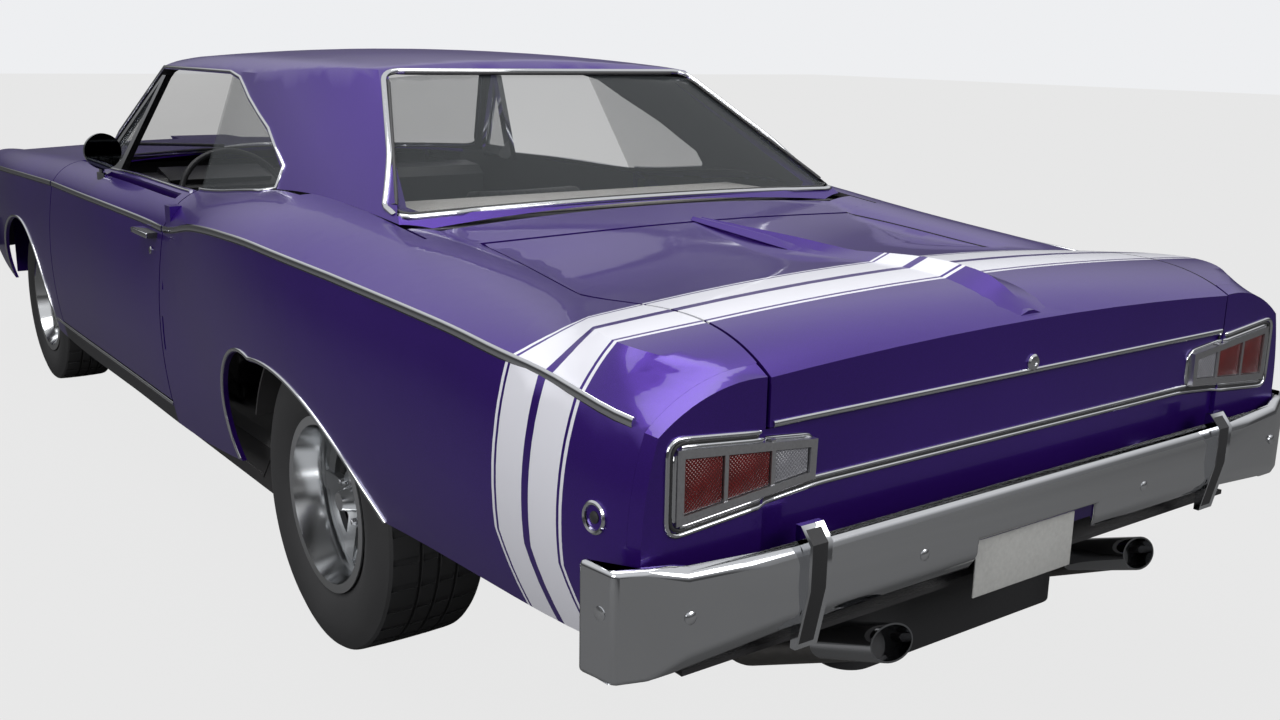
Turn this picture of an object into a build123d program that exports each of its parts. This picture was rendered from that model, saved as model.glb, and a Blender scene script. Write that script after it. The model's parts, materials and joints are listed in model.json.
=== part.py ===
"""Two-door hardtop muscle car, left-hand drive, as a set of separate pieces.

Frame: millimetres, X forward, Y to the car's left, Z up.
The origin lies on the floor under the middle of the car's box.
"""

import os
from math import cos, radians, sin, sqrt

from build123d import *

os.makedirs("parts", exist_ok=True)

# Driving dimensions
FRONT_AXLE_X = 1704.0
REAR_AXLE_X = -1268.0
SKIN = 12.0
GAP = 6.0
DOOR_GAP = 8.0
SEAT_GAP = 0.3

FRONT_TYRE_R = 335.0
FRONT_TYRE_W = 206.0
FRONT_TRACK_Y = 745.0
REAR_TYRE_R = 350.0
REAR_TYRE_W = 270.0
REAR_TRACK_Y = 760.0
RIM_R = 205.5
RIM_WALL = 9.0
HUB_R = 32.0
HUB_CLEARANCE = 0.06

# Body sections, left half.
# Each row: x, then (y, z) of the sill, the widest point, the crease, the shoulder, the deck edge,
# and the height of the deck on the centre line.
SECTIONS = [
    (2560, (846, 440), (888, 640), (862, 835), (838, 868), (740, 884), 905),
    (2250, (872, 395), (912, 620), (888, 843), (860, 882), (740, 905), 940),
    (1704, (884, 330), (926, 600), (902, 860), (868, 902), (740, 928), 975),
    (1138, (890, 290), (926, 600), (901, 874), (866, 920), (745, 952), 992),
    (500, (890, 285), (924, 600), (900, 874), (862, 930), (786, 973), 1005),
    (-200, (890, 285), (924, 600), (898, 867), (862, 928), (786, 978), 1010),
    (-560, (892, 300), (932, 610), (930, 922), (868, 975), (766, 1014), 1030),
    (-1000, (896, 350), (948, 620), (945, 942), (868, 998), (730, 1032), 1045),
    (-1424, (898, 405), (948, 620), (928, 926), (850, 968), (600, 984), 1010),
    (-1978, (898, 445), (936, 640), (908, 906), (830, 930), (630, 938), 978),
    (-2556, (884, 488), (908, 672), (880, 847), (806, 890), (660, 911), 932),
]

FENDER_FRONT_X = 2560.0
DOOR_FRONT_X = 1130.0
DOOR_REAR_X = -194.0
DOOR_BOTTOM_Z = 358.0
TAIL_X = -2524.0
TAIL_FACE_X = -2544.0
SECTION_END_X = -2556.0
CABIN_FLOOR_Z = 232.0
FLOOR_SIDE_Y = 799.0

# Hood and trunk openings
HOOD_REAR_X = 1186.0
HOOD_FRONT_X = 2508.0
HOOD_HALF_W = 742.0
LID_FRONT_X = -1495.0
LID_BOW = 62.0
LID_FRONT_HALF_W = 571.0
LID_REAR_HALF_W = 660.0
LID_FRONT_GAP = 12.0
COWL_GAP = 12.0

# Wheel arches, each an outline of (x, z) that runs over the wheel from front to back
FRONT_ARCH = [(2080, 260), (1975, 575), (1745, 678), (1480, 630), (1262, 260)]
REAR_ARCH = [(-806, 260), (-785, 585), (-1010, 652), (-1390, 602), (-1668, 380)]

# Greenhouse, a plan outline at the belt and one at the roof rail
BELT_Z = 930.0
BELT_SIDE_Y = 806.0
RAIL_Z = 1316.0
RAIL_SIDE_Y = 645.0
PILLAR_WALL = 46.0
GLASS = 6.0

# Door hinge pins and lid hinge axes
DOOR_PIN_X = 1218.0
DOOR_PIN_Y = 890.0
TRUNK_PIN_X = -1300.0
TRUNK_PIN_Z = 890.0
TRUNK_ARM_Y = 450.0
HOOD_PIN_X = 1030.0
HOOD_PIN_Z = 885.0
HOOD_ARM_Y = 690.0


def side_plane(x):
    """Plane across the car at x, its own x to the left and its own y up."""
    return Plane(origin=(x, 0, 0), x_dir=(0, 1, 0), z_dir=(1, 0, 0))


def profile_plane(y):
    """Plane along the car at y, its own x forward and its own y up."""
    return Plane(origin=(0, y, 0), x_dir=(1, 0, 0), z_dir=(0, -1, 0))


def body_half(wall):
    """Left half of the lower body, filled for wall 0 or pulled in by the wall."""
    with BuildPart() as half:
        for x, sill, wide, crease, shoulder, edge, crown in SECTIONS:
            sill_in = (sill[0] - wall, sill[1] - 60)
            wide_in = (wide[0] - wall, wide[1])
            crease_in = (crease[0] - wall, crease[1])
            shoulder_in = (shoulder[0] - 0.7 * wall, shoulder[1] - 0.7 * wall)
            edge_in = (edge[0], edge[1] - wall)
            top_in = (0, crown - wall)
            quarter_y = edge[0] / 2
            quarter_z = crown - wall - (crown - edge[1]) / 4
            sill_out = (sill[0] - wall, sill[1])
            base_z = sill[1] if wall == 0 else sill[1] - 60
            with BuildSketch(side_plane(x)):
                with BuildLine():
                    Line((0, base_z), (sill_in[0], base_z))
                    if wall:
                        Line((sill_in[0], base_z), sill_out)
                    ThreePointArc(sill_out, wide_in, crease_in)
                    ThreePointArc(crease_in, shoulder_in, edge_in)
                    ThreePointArc(edge_in, (quarter_y, quarter_z), top_in)
                    Line(top_in, (0, base_z))
                make_face()
        loft()
    return half.part


body_solid = body_half(0)
body_void = body_half(SKIN)


def block(x0, x1, y0, y1, z0, z1, mode=Mode.ADD):
    """Box between two corners, inside the part that is being built."""
    with Locations(((x0 + x1) / 2, (y0 + y1) / 2, (z0 + z1) / 2)):
        Box(x1 - x0, y1 - y0, z1 - z0, mode=mode)


def room(x0, x1, y0, y1, z0, z1):
    """Box between two corners, by itself."""
    box = Box(x1 - x0, y1 - y0, z1 - z0, mode=Mode.PRIVATE)
    return Pos((x0 + x1) / 2, (y0 + y1) / 2, (z0 + z1) / 2) * box


def outline_prism(points, z0, z1):
    """Upright prism on a closed outline of (x, y)."""
    with BuildPart() as prism:
        with BuildSketch(Plane.XY.offset(z0)):
            with BuildLine():
                Polyline(*points, close=True)
            make_face()
        extrude(amount=z1 - z0)
    return prism.part


def profile_bar(points, y0, y1):
    """Bar across the car on a closed outline of (x, z)."""
    with BuildPart() as bar:
        with BuildSketch(profile_plane(y0)):
            with BuildLine():
                Polyline(*points, close=True)
            make_face()
        extrude(amount=-(y1 - y0))
    return bar.part


def arch_cutter(arch, y0, y1):
    """Wheel opening, two arcs over the wheel and open below."""
    with BuildPart() as opening:
        with BuildSketch(profile_plane(y0)):
            with BuildLine():
                ThreePointArc(arch[0], arch[1], arch[2])
                ThreePointArc(arch[2], arch[3], arch[4])
                Line(arch[4], arch[0])
            make_face()
        extrude(amount=-(y1 - y0))
    return opening.part


def lid_outline(gap):
    """Trunk opening seen from above, wider by the gap on every side but the rear."""
    front_gap = gap * LID_FRONT_GAP / GAP
    widening = (LID_REAR_HALF_W - LID_FRONT_HALF_W) / (LID_FRONT_X - SECTION_END_X)
    front_y = LID_FRONT_HALF_W + gap
    rear_y = LID_REAR_HALF_W + gap + 20 * widening
    with BuildPart() as prism:
        with BuildSketch(Plane.XY.offset(600)):
            with BuildLine():
                ThreePointArc(
                    (LID_FRONT_X + front_gap, front_y),
                    (LID_FRONT_X - LID_BOW + front_gap, 0),
                    (LID_FRONT_X + front_gap, -front_y),
                )
                Line((LID_FRONT_X + front_gap, -front_y), (SECTION_END_X - 20, -rear_y))
                Line((SECTION_END_X - 20, -rear_y), (SECTION_END_X - 20, rear_y))
                Line((SECTION_END_X - 20, rear_y), (LID_FRONT_X + front_gap, front_y))
            make_face()
        extrude(amount=600)
    return prism.part


def both_sides(left):
    """A left-hand shape and its mirror image as one part."""
    with BuildPart() as pair:
        add(left)
        mirror(about=Plane.XZ)
    return pair.part


def write(piece, name):
    """Label one finished piece and write it."""
    piece.label = name
    export_step(piece, f"parts/{name}.step")


# Cutting boxes reach past the body by this much on every open side
REACH = 20.0
OUT_Y = 1100.0
LOW_Z = 150.0
HIGH_Z = 1700.0


def body_length(x0, x1):
    """Filled left half and its skin between two places along the car."""
    solid = body_solid & room(x0, x1, -REACH, OUT_Y, LOW_Z, HIGH_Z)
    return solid, solid - body_void


# The body in three lengths, each reaching a little past its panels
nose_solid, nose_shell = body_length(960, 2600)
middle_solid, middle_shell = body_length(-260, 1180)
tail_solid, tail_shell = body_length(-2600, -170)


def left_panel(shell, x0, x1, cutters):
    """Piece of the left half of the body skin between two places along the car."""
    panel = shell & room(x0, x1, -REACH, OUT_Y, LOW_Z, HIGH_Z)
    for cutter in cutters:
        panel = panel - cutter
    return panel


# Front fenders
fender_rear_x = DOOR_FRONT_X + DOOR_GAP
hood_side_y = HOOD_HALF_W + GAP
front_wheel_opening = arch_cutter(FRONT_ARCH, 600, OUT_Y)
inside_of_fender = room(fender_rear_x - REACH, FENDER_FRONT_X + REACH, -REACH, hood_side_y, LOW_Z, HIGH_Z)
fender_skin = left_panel(nose_shell, fender_rear_x, FENDER_FRONT_X, [inside_of_fender, front_wheel_opening])
with BuildPart() as fender_left:
    add(fender_skin)
with BuildPart() as fender_right:
    add(mirror(fender_left.part, about=Plane.XZ))
write(fender_left.part, "fender_left")
write(fender_right.part, "fender_right")

# Lid arms, each a bent strap as (x, z) steps from its pin
HOOD_ARM = [(0, 0), (120, -120), (180, -53), (236, 80)]
TRUNK_ARM = [(0, 0), (-118, -203), (-210, -144), (-296, 92)]
ARM_WIDTH = 22.0
ARM_THICKNESS = 14.0
HINGE_PIN_R = 7.0
PIN_CLEARANCE = 0.05
CHEEK_OFFSET = 13.0
CHEEK_T = 8.0
CHEEK_R = 14.0


def hinge_arm(corners, pin_x, pin_z, y):
    """Bent arm from its pin to the underside of its lid, with an eye round the pin."""
    points = [(pin_x + dx, pin_z + dz) for dx, dz in corners]
    with BuildPart() as arm:
        with BuildSketch(profile_plane(y - ARM_THICKNESS / 2)):
            with BuildLine():
                Polyline(*points)
            trace(line_width=ARM_WIDTH)
            with Locations(points[0]):
                Circle(ARM_WIDTH * 0.7)
                Circle(HINGE_PIN_R + PIN_CLEARANCE, mode=Mode.SUBTRACT)
        extrude(amount=-ARM_THICKNESS)
    return arm.part


# Hood with its bulge
hood_skin = nose_shell & room(HOOD_REAR_X, HOOD_FRONT_X, -REACH, HOOD_HALF_W, 700, 1200)
hood_arm = hinge_arm(HOOD_ARM, HOOD_PIN_X, HOOD_PIN_Z, HOOD_ARM_Y) & nose_solid
with BuildPart() as hood:
    add(hood_skin)
    add(hood_arm)
    mirror(about=Plane.XZ)
    with BuildSketch(Plane.XY.offset(955)):
        with BuildLine():
            Polyline((1330, -190), (1330, 190), (2230, 130), (2230, -130), close=True)
        make_face()
    extrude(amount=44, taper=24)
write(hood.part, "hood")

# Greenhouse, lofted from the belt outline to the roof rail
# Each row: front corner x and y, bow of the windshield, rear corner x and y, bow of the rear window
BELT_ROW = (940.0, 800.0, 165.0, -1440.0, 742.0, 26.0)
RAIL_ROW = (561.0, 636.0, 66.0, -868.0, 520.0, 18.0)
ROOF_SIDE_KNEE_X = -230.0


def greenhouse_ring(z, row, side_y, inset):
    """Plan outline of the glasshouse at one height, pulled in by the inset."""
    front_x, front_y, front_bow, rear_x, rear_y, rear_bow = row
    front_x = front_x - inset
    rear_x = rear_x + inset
    front_y = front_y - inset
    rear_y = rear_y - inset
    side_y = side_y - inset
    knee_x = rear_x + 0.45 * (ROOF_SIDE_KNEE_X - rear_x)
    with BuildSketch(Plane.XY.offset(z)) as ring:
        with BuildLine():
            ThreePointArc((front_x, front_y), (front_x + front_bow, 0), (front_x, -front_y))
            Line((front_x, -front_y), (ROOF_SIDE_KNEE_X, -side_y))
            bend_y = side_y - 0.30 * (side_y - rear_y)
            ThreePointArc((ROOF_SIDE_KNEE_X, -side_y), (knee_x, -bend_y), (rear_x, -rear_y))
            ThreePointArc((rear_x, -rear_y), (rear_x - rear_bow, 0), (rear_x, rear_y))
            ThreePointArc((rear_x, rear_y), (knee_x, bend_y), (ROOF_SIDE_KNEE_X, side_y))
            Line((ROOF_SIDE_KNEE_X, side_y), (front_x, front_y))
        make_face()
    return ring.sketch


def greenhouse(inset, z_low, z_high):
    """Filled glasshouse below the rail, between two heights."""
    rings = []
    for z in (z_low, z_high):
        share = (z - BELT_Z) / (RAIL_Z - BELT_Z)
        row = [a + share * (b - a) for a, b in zip(BELT_ROW, RAIL_ROW)]
        side_y = BELT_SIDE_Y + share * (RAIL_SIDE_Y - BELT_SIDE_Y)
        rings.append(greenhouse_ring(z, row, side_y, inset))
    with BuildPart() as house:
        loft(rings, ruled=True)
    return house.part


# Roof skin over the rail, sections across the car as (x, rail y, rail z, shoulder y, shoulder z, crown z)
ROOF_SECTIONS = [
    (1200, 626, 1300, 540, 1308, 1320),
    (560, 634, 1314, 560, 1336, 1357),
    (330, 640, 1316, 570, 1350, 1376),
    (-130, 645, 1316, 575, 1356, 1386),
    (-600, 618, 1316, 545, 1350, 1377),
    (-880, 560, 1316, 480, 1338, 1356),
    (-1560, 500, 1290, 420, 1298, 1306),
]


def roof_dome(drop):
    """Filled crown of the roof, lowered by the drop."""
    with BuildPart() as dome:
        for x, rail_y, rail_z, shoulder_y, shoulder_z, crown_z in ROOF_SECTIONS:
            with BuildSketch(side_plane(x)):
                with BuildLine():
                    Polyline(
                        (-rail_y, rail_z - drop), (-OUT_Y, 1150 - drop), (-OUT_Y, 700),
                        (OUT_Y, 700), (OUT_Y, 1150 - drop), (rail_y, rail_z - drop),
                    )
                    middle_y = 0.6 * rail_y + 0.4 * shoulder_y
                    middle_z = 0.45 * rail_z + 0.55 * shoulder_z - drop
                    low_z = rail_z - drop
                    high_z = shoulder_z - drop
                    ThreePointArc((rail_y, low_z), (middle_y, middle_z), (shoulder_y, high_z))
                    ThreePointArc((shoulder_y, high_z), (0, crown_z - drop), (-shoulder_y, high_z))
                    ThreePointArc((-shoulder_y, high_z), (-middle_y, middle_z), (-rail_y, low_z))
                make_face()
        loft()
    return dome.part


ROOF_WALL = 22.0
pillars_low_z = 890.0
house_solid = greenhouse(0, pillars_low_z, 1420)
house_void = greenhouse(PILLAR_WALL, pillars_low_z - REACH, 1440)
crown_solid = roof_dome(0)
crown_void = roof_dome(ROOF_WALL)

# Side-window opening as (x, z), seen from the side
SIDE_WINDOW = [
    (905, 940), (880, 985), (548, 1304), (-120, 1306), (-215, 1292), (-335, 1238),
    (-527, 1164), (-690, 1078), (-700, 1040), (-672, 1012), (-560, 940),
]
side_opening = profile_bar(SIDE_WINDOW, -OUT_Y, OUT_Y)


def slanted_opening(low_x, low_z, low_y, high_x, high_z, high_y, depth):
    """Window opening in a sloping screen, a hexahedron between two straight edges."""
    with BuildPart() as opening:
        for x, z, y in ((low_x, low_z, low_y), (high_x, high_z, high_y)):
            with BuildSketch(Plane.XY.offset(z)):
                with Locations((x, 0)):
                    Rectangle(depth, 2 * y)
        loft(ruled=True)
    return opening.part


windshield_opening = slanted_opening(1010, 985, 742, 600, 1312, 592, 330)
rear_opening = slanted_opening(-1390, 1022, 690, -868, 1330, 486, 260)

below_roof = body_solid & room(-1700, 1300, -REACH, OUT_Y, 700, HIGH_Z)
with BuildPart() as roof:
    add(house_solid & crown_solid)
    below_crown = house_void & crown_void
    add(below_crown, mode=Mode.SUBTRACT)
    add(side_opening, mode=Mode.SUBTRACT)
    add(windshield_opening, mode=Mode.SUBTRACT)
    add(rear_opening, mode=Mode.SUBTRACT)
    for side_solid in (below_roof, mirror(below_roof, about=Plane.XZ)):
        add(side_solid, mode=Mode.SUBTRACT)
write(roof.part, "roof")

# Glass, cut from the glasshouse by the window openings
glass_inset = 9.0
glass_shell = greenhouse(glass_inset, pillars_low_z, 1420) - greenhouse(
    glass_inset + GLASS, pillars_low_z - REACH, 1440
)
windshield_glass = glass_shell & windshield_opening
windshield_glass = windshield_glass & crown_void
rear_glass = glass_shell & rear_opening
rear_glass = rear_glass & crown_void
with BuildPart() as windshield:
    add(windshield_glass)
with BuildPart() as rear_window:
    add(rear_glass)
write(windshield.part, "windshield")
write(rear_window.part, "rear_window")

QUARTER_GLASS = [
    (-186, 880), (-186, 990), (-118, 1304), (-126, 1304), (-215, 1290), (-335, 1236),
    (-527, 1162), (-688, 1078), (-698, 1040), (-672, 1014), (-672, 880),
]
quarter_pane = glass_shell & profile_bar(QUARTER_GLASS, 500, OUT_Y)
with BuildPart() as quarter_windows:
    add(quarter_pane - tail_solid)
    mirror(about=Plane.XZ)
write(quarter_windows.part, "quarter_windows")

# Doors: skin, inner panel, hinge arms and outside handle in one piece
DOOR_INNER_Y = 792.0
DOOR_SILL_Z = 958.0
DOOR_REAR_DRAFT = 10.0
DOOR_ARM_Z = (460.0, 760.0)
DOOR_ARM = [(0, 0), (-44, -84), (-108, -84)]
DOOR_FRONT_DRAFT = 10.0
DOOR_ARM_W = 20.0
ROCKER_TOP_Z = DOOR_BOTTOM_Z - GAP

below_door = room(DOOR_REAR_X - REACH, DOOR_FRONT_X + REACH, -REACH, OUT_Y, LOW_Z, DOOR_BOTTOM_Z)
inside_of_door = room(DOOR_REAR_X - REACH, DOOR_FRONT_X + REACH, -REACH, DOOR_INNER_Y, LOW_Z, HIGH_Z)
door_skin = left_panel(middle_shell, DOOR_REAR_X, DOOR_FRONT_X, [below_door, inside_of_door])
door_inner_front = DOOR_FRONT_X - DOOR_FRONT_DRAFT
inner_outline = [
    (door_inner_front, DOOR_INNER_Y), (door_inner_front, 915),
    (DOOR_REAR_X, 915), (DOOR_REAR_X + DOOR_REAR_DRAFT, DOOR_INNER_Y),
]
door_inner = outline_prism(inner_outline, DOOR_BOTTOM_Z, DOOR_SILL_Z) & middle_solid
door_inner = door_inner & room(DOOR_REAR_X - 1, DOOR_FRONT_X + 1, 0, OUT_Y, 0, HIGH_Z)


def door_arm(z):
    """Hinge arm that turns in, then back to the door, with an eye round the pin."""
    points = [(DOOR_PIN_X + dx, DOOR_PIN_Y + dy) for dx, dy in DOOR_ARM]
    with BuildPart() as arm:
        with BuildSketch(Plane.XY.offset(z - 12)):
            with BuildLine():
                Polyline(*points)
            trace(line_width=DOOR_ARM_W)
            with Locations(points[0]):
                Circle(9)
                Circle(5 + PIN_CLEARANCE, mode=Mode.SUBTRACT)
        extrude(amount=24)
    return arm.part


door_arms = [door_arm(z) for z in DOOR_ARM_Z]
with BuildPart() as door_left:
    add(door_skin)
    add(door_inner)
    add(door_arms)
    # Slot in the sill for the glass
    block(DOOR_REAR_X + 60, 620, 818, 838, 700, 1000, mode=Mode.SUBTRACT)
    # Outside handle below the crease
    block(-140, 20, 880, 926, 836, 852)
with BuildPart() as door_right:
    add(mirror(door_left.part, about=Plane.XZ))
write(door_left.part, "door_left")
write(door_right.part, "door_right")

VENT_LOW_Z = 940.0
VENT_FRAME = [(862, VENT_LOW_Z), (862, 982), (552, 1284), (510, 1284), (630, 966), (630, VENT_LOW_Z)]
VENT_HOLE = [(822, 990), (664, 990), (548, 1262)]
vent_wall = greenhouse(2, VENT_LOW_Z - REACH, 1320) - greenhouse(24, VENT_LOW_Z - 2 * REACH, 1340)
vent_frame = vent_wall & profile_bar(VENT_FRAME, 500, OUT_Y)
vent_hole = profile_bar(VENT_HOLE, 500, OUT_Y)
vent_pane = glass_shell & vent_hole
with BuildPart() as vent_window_left:
    add(vent_frame)
    add(vent_hole, mode=Mode.SUBTRACT)
    add(vent_pane)
    add(door_left.part, mode=Mode.SUBTRACT)
with BuildPart() as vent_window_right:
    add(mirror(vent_window_left.part, about=Plane.XZ))
write(vent_window_left.part, "vent_window_left")
write(vent_window_right.part, "vent_window_right")

# Round mirror on the left door
MIRROR_Y = 846.0
MIRROR_Z = 1030.0
MIRROR_R = 60.0


def mirror_plane(x):
    """Plane across the mirror's head at x."""
    return Plane(origin=(x, MIRROR_Y, MIRROR_Z), x_dir=(0, 1, 0), z_dir=(1, 0, 0))


with BuildPart() as door_mirror:
    with BuildSketch(mirror_plane(600)):
        Circle(MIRROR_R)
    extrude(amount=16)
    with BuildSketch(mirror_plane(616)):
        Circle(MIRROR_R)
    with BuildSketch(mirror_plane(650)):
        Circle(18)
    loft()
    # Foot and stalk
    with BuildSketch(Plane.XY.offset(930)):
        with Locations((640, MIRROR_Y)):
            Ellipse(34, 14)
    extrude(amount=26)
    with BuildSketch(Plane.XY.offset(950)):
        with Locations((634, MIRROR_Y)):
            Circle(9)
    extrude(amount=70)
    add(door_left.part, mode=Mode.SUBTRACT)
write(door_mirror.part, "door_mirror")

# Rocker panels below the doors
above_rocker = room(-3000, 3000, -REACH, OUT_Y, ROCKER_TOP_Z, HIGH_Z)
rocker = left_panel(middle_shell, DOOR_REAR_X - DOOR_GAP, fender_rear_x, [above_rocker])
ROCKER_FLANGE_Y = FLOOR_SIDE_Y + SEAT_GAP
with BuildPart() as rocker_panels:
    add(rocker)
    block(DOOR_REAR_X - DOOR_GAP, fender_rear_x, ROCKER_FLANGE_Y, 894, ROCKER_TOP_Z - 14, ROCKER_TOP_Z)
    block(DOOR_REAR_X - DOOR_GAP, fender_rear_x, ROCKER_FLANGE_Y, ROCKER_FLANGE_Y + 12, 285, ROCKER_TOP_Z)
    mirror(about=Plane.XZ)
write(rocker_panels.part, "rocker_panels")

# Quarter panels
quarter_front_x = DOOR_REAR_X - DOOR_GAP
rear_wheel_opening = arch_cutter(REAR_ARCH, 600, OUT_Y)
lid_hole = lid_outline(GAP)
side_window_well = room(-900, quarter_front_x + REACH, -REACH, 760, LOW_Z, HIGH_Z)
inner_deck = room(-1470, quarter_front_x + REACH, -REACH, 708, LOW_Z, HIGH_Z)
quarter_skin = left_panel(
    tail_shell, TAIL_X, quarter_front_x, [rear_wheel_opening, lid_hole, side_window_well, inner_deck]
)
quarter_skin = quarter_skin - room(TAIL_X - 40, -1450, -REACH, 560, LOW_Z, HIGH_Z)
INDENTS = ((700, 760, -236), (520, 620, -226))
with BuildPart() as quarter_left:
    add(quarter_skin)
    # Door pillar behind the door
    block(quarter_front_x - 46, quarter_front_x, 800, 890, 300, 940)
    # Two upright dents behind the door
    for z_low, z_high, x in INDENTS:
        with Locations(((x, 934, (z_low + z_high) / 2))):
            Box(12, 30, z_high - z_low, mode=Mode.SUBTRACT)
with BuildPart() as quarter_right:
    add(mirror(quarter_left.part, about=Plane.XZ))
write(quarter_left.part, "quarter_left")
write(quarter_right.part, "quarter_right")

# Deck between the rear window and the trunk lid
deck_skin = tail_shell & room(-1600, -1372, -REACH, 700, LOW_Z, HIGH_Z)
deck_skin = deck_skin - lid_hole
deck_skin = deck_skin - quarter_left.part
with BuildPart() as deck_filler:
    add(deck_skin)
    mirror(about=Plane.XZ)
write(deck_filler.part, "deck_filler")

# Trunk lid with its rear face, and a centre ridge that grows towards the rear
LID_LOW_Z = 828.0
# Each row: x, half width at the foot, height of the foot and of the top
LID_RIDGE = [(-1535, 16, 998, 1006), (-1900, 32, 977, 993), (-2300, 54, 947, 970), (-2543, 72, 925, 947)]
lid_top = tail_shell & lid_outline(0)
lid_top = lid_top & room(SECTION_END_X, -1400, -REACH, 800, 800, 1200)
lid_back = tail_solid & room(SECTION_END_X, SECTION_END_X + 12, -REACH, LID_REAR_HALF_W - 1, LID_LOW_Z, 1200)
trunk_arm = hinge_arm(TRUNK_ARM, TRUNK_PIN_X, TRUNK_PIN_Z, TRUNK_ARM_Y) & tail_solid
with BuildPart() as trunk_lid:
    add(lid_top)
    add(lid_back)
    add(trunk_arm)
    mirror(about=Plane.XZ)
    for x, half_w, foot_z, top_z in LID_RIDGE:
        with BuildSketch(Plane.YZ.offset(x)):
            with BuildLine():
                Polyline((-half_w, foot_z), (-8, top_z), (8, top_z), (half_w, foot_z), close=True)
            make_face()
    loft(ruled=True)
write(trunk_lid.part, "trunk_lid")

# Tail panel under the lid, with lamp openings
LAMP = [(846, 823), (846, 700), (556, 725), (554, 794)]
tail_plate = tail_solid & room(TAIL_FACE_X, TAIL_X - SEAT_GAP, -REACH, OUT_Y, 400, LID_LOW_Z - GAP)
tail_corner = tail_solid & room(
    SECTION_END_X + 2, TAIL_X - SEAT_GAP, LID_REAR_HALF_W + GAP, OUT_Y, 400, HIGH_Z
)


def lamp_prism(grow, x0, x1):
    """Lamp outline on the left, grown all round, between two places along the car."""
    with BuildPart() as prism:
        with BuildSketch(side_plane(x0)):
            with BuildLine():
                Polyline(*LAMP, close=True)
            make_face()
            if grow:
                offset(amount=grow, kind=Kind.INTERSECTION)
        extrude(amount=x1 - x0)
    return prism.part


lamp_hole = lamp_prism(0.3, -2600, -2500)
with BuildPart() as tail_panel:
    add(tail_plate)
    add(tail_corner)
    add(lamp_hole, mode=Mode.SUBTRACT)
    mirror(about=Plane.XZ)
write(tail_panel.part, "tail_panel")

lamp_body = lamp_prism(0, -2560, -2470)
lamp_bezel_cut = lamp_prism(-14, -2570, -2552)
with BuildPart() as tail_lamps:
    add(lamp_body)
    add(lamp_bezel_cut, mode=Mode.SUBTRACT)
    # Dividers between the three cells
    for y in (650, 748):
        block(-2559, -2546, y - 4, y + 4, 716, 808)
    mirror(about=Plane.XZ)
write(tail_lamps.part, "tail_lamps")

# Rear bumper, a channel bar that wraps round both corners
BUMPER_PLAN = [(-2612, 0), (-2612, 640), (-2600, 850), (-2560, 962), (-2480, 974)]
BUMPER_WALL = 20.0
REAR_BUMPER_PROFILE = [
    (-2440, 652), (-2576, 652), (-2606, 630), (-2613, 604), (-2611, 520), (-2578, 466), (-2440, 462),
]


def bumper_bar(plan, wall, profile):
    """Bar with the plan outline's outer face, cut to its height by the profile."""
    inward = wall if plan[0][0] < 0 else -wall
    outer = [(x, y) for x, y in plan] + [(plan[-1][0], plan[-1][1] - wall)]
    inner = [(x + inward, y - 0.5 * wall if y else 0) for x, y in reversed(plan[:-1])]
    with BuildPart() as bar:
        with BuildSketch(Plane.XY.offset(300)):
            with BuildLine():
                Polyline(*outer, *inner, close=True)
            make_face()
        extrude(amount=500)
        mirror(about=Plane.XZ)
        add(profile_bar(profile, -1000, 1000), mode=Mode.INTERSECT)
    return bar.part


PLATE_HALF_W = 178.0
rear_bar = bumper_bar(BUMPER_PLAN, BUMPER_WALL, REAR_BUMPER_PROFILE)
REAR_GUARD = [(-2560, 668), (-2600, 668), (-2624, 640), (-2624, 560), (-2600, 450), (-2560, 450)]
rear_guard = profile_bar(REAR_GUARD, 572, 622)
with BuildPart() as rear_bumper:
    add(rear_bar)
    block(-2700, -2400, -PLATE_HALF_W, PLATE_HALF_W, 400, 548, mode=Mode.SUBTRACT)
    # Brackets from the bar to the tail panel
    for side in (1, -1):
        block(-2600, TAIL_FACE_X - SEAT_GAP, side * 480 - 30, side * 480 + 30, 560, 600)
with BuildPart() as bumper_guards:
    add(rear_guard)
    add(rear_bar, mode=Mode.SUBTRACT)
    block(-2700, -2588, 560, 640, 420, 700, mode=Mode.INTERSECT)
    mirror(about=Plane.XZ)
write(rear_bumper.part, "rear_bumper")
write(bumper_guards.part, "bumper_guards")

# Floor with its tunnel, sills, kick-up and trunk floor
FLOOR_T = 10.0
FIREWALL_X = 1224.0
TRUNK_FLOOR_Z = 432.0
KICK_UP_Z = 480.0
FLOOR_LINE = [
    (FIREWALL_X, 340), (FIREWALL_X - 170, CABIN_FLOOR_Z), (-640, CABIN_FLOOR_Z), (-700, 300), (-830, 330),
    (-1010, 470), (-1560, KICK_UP_Z), (-1700, TRUNK_FLOOR_Z), (TAIL_X - SEAT_GAP * 2, TRUNK_FLOOR_Z),
]
floor_line_low = [(x, z - FLOOR_T) for x, z in reversed(FLOOR_LINE)]
floor_sheet = profile_bar(FLOOR_LINE + floor_line_low, -FLOOR_SIDE_Y, FLOOR_SIDE_Y)
TUNNEL = [(-150, 200), (-120, 380), (-70, 410), (70, 410), (120, 380), (150, 200)]
WHEEL_TUB_Y = 590.0
with BuildPart() as tunnel_void:
    with BuildSketch(Plane.YZ.offset(-1100)):
        with BuildLine():
            Polyline(*[(y * 0.92, z - FLOOR_T) for y, z in TUNNEL], close=True)
        make_face()
    extrude(amount=FIREWALL_X + 1100 + REACH)
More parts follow.
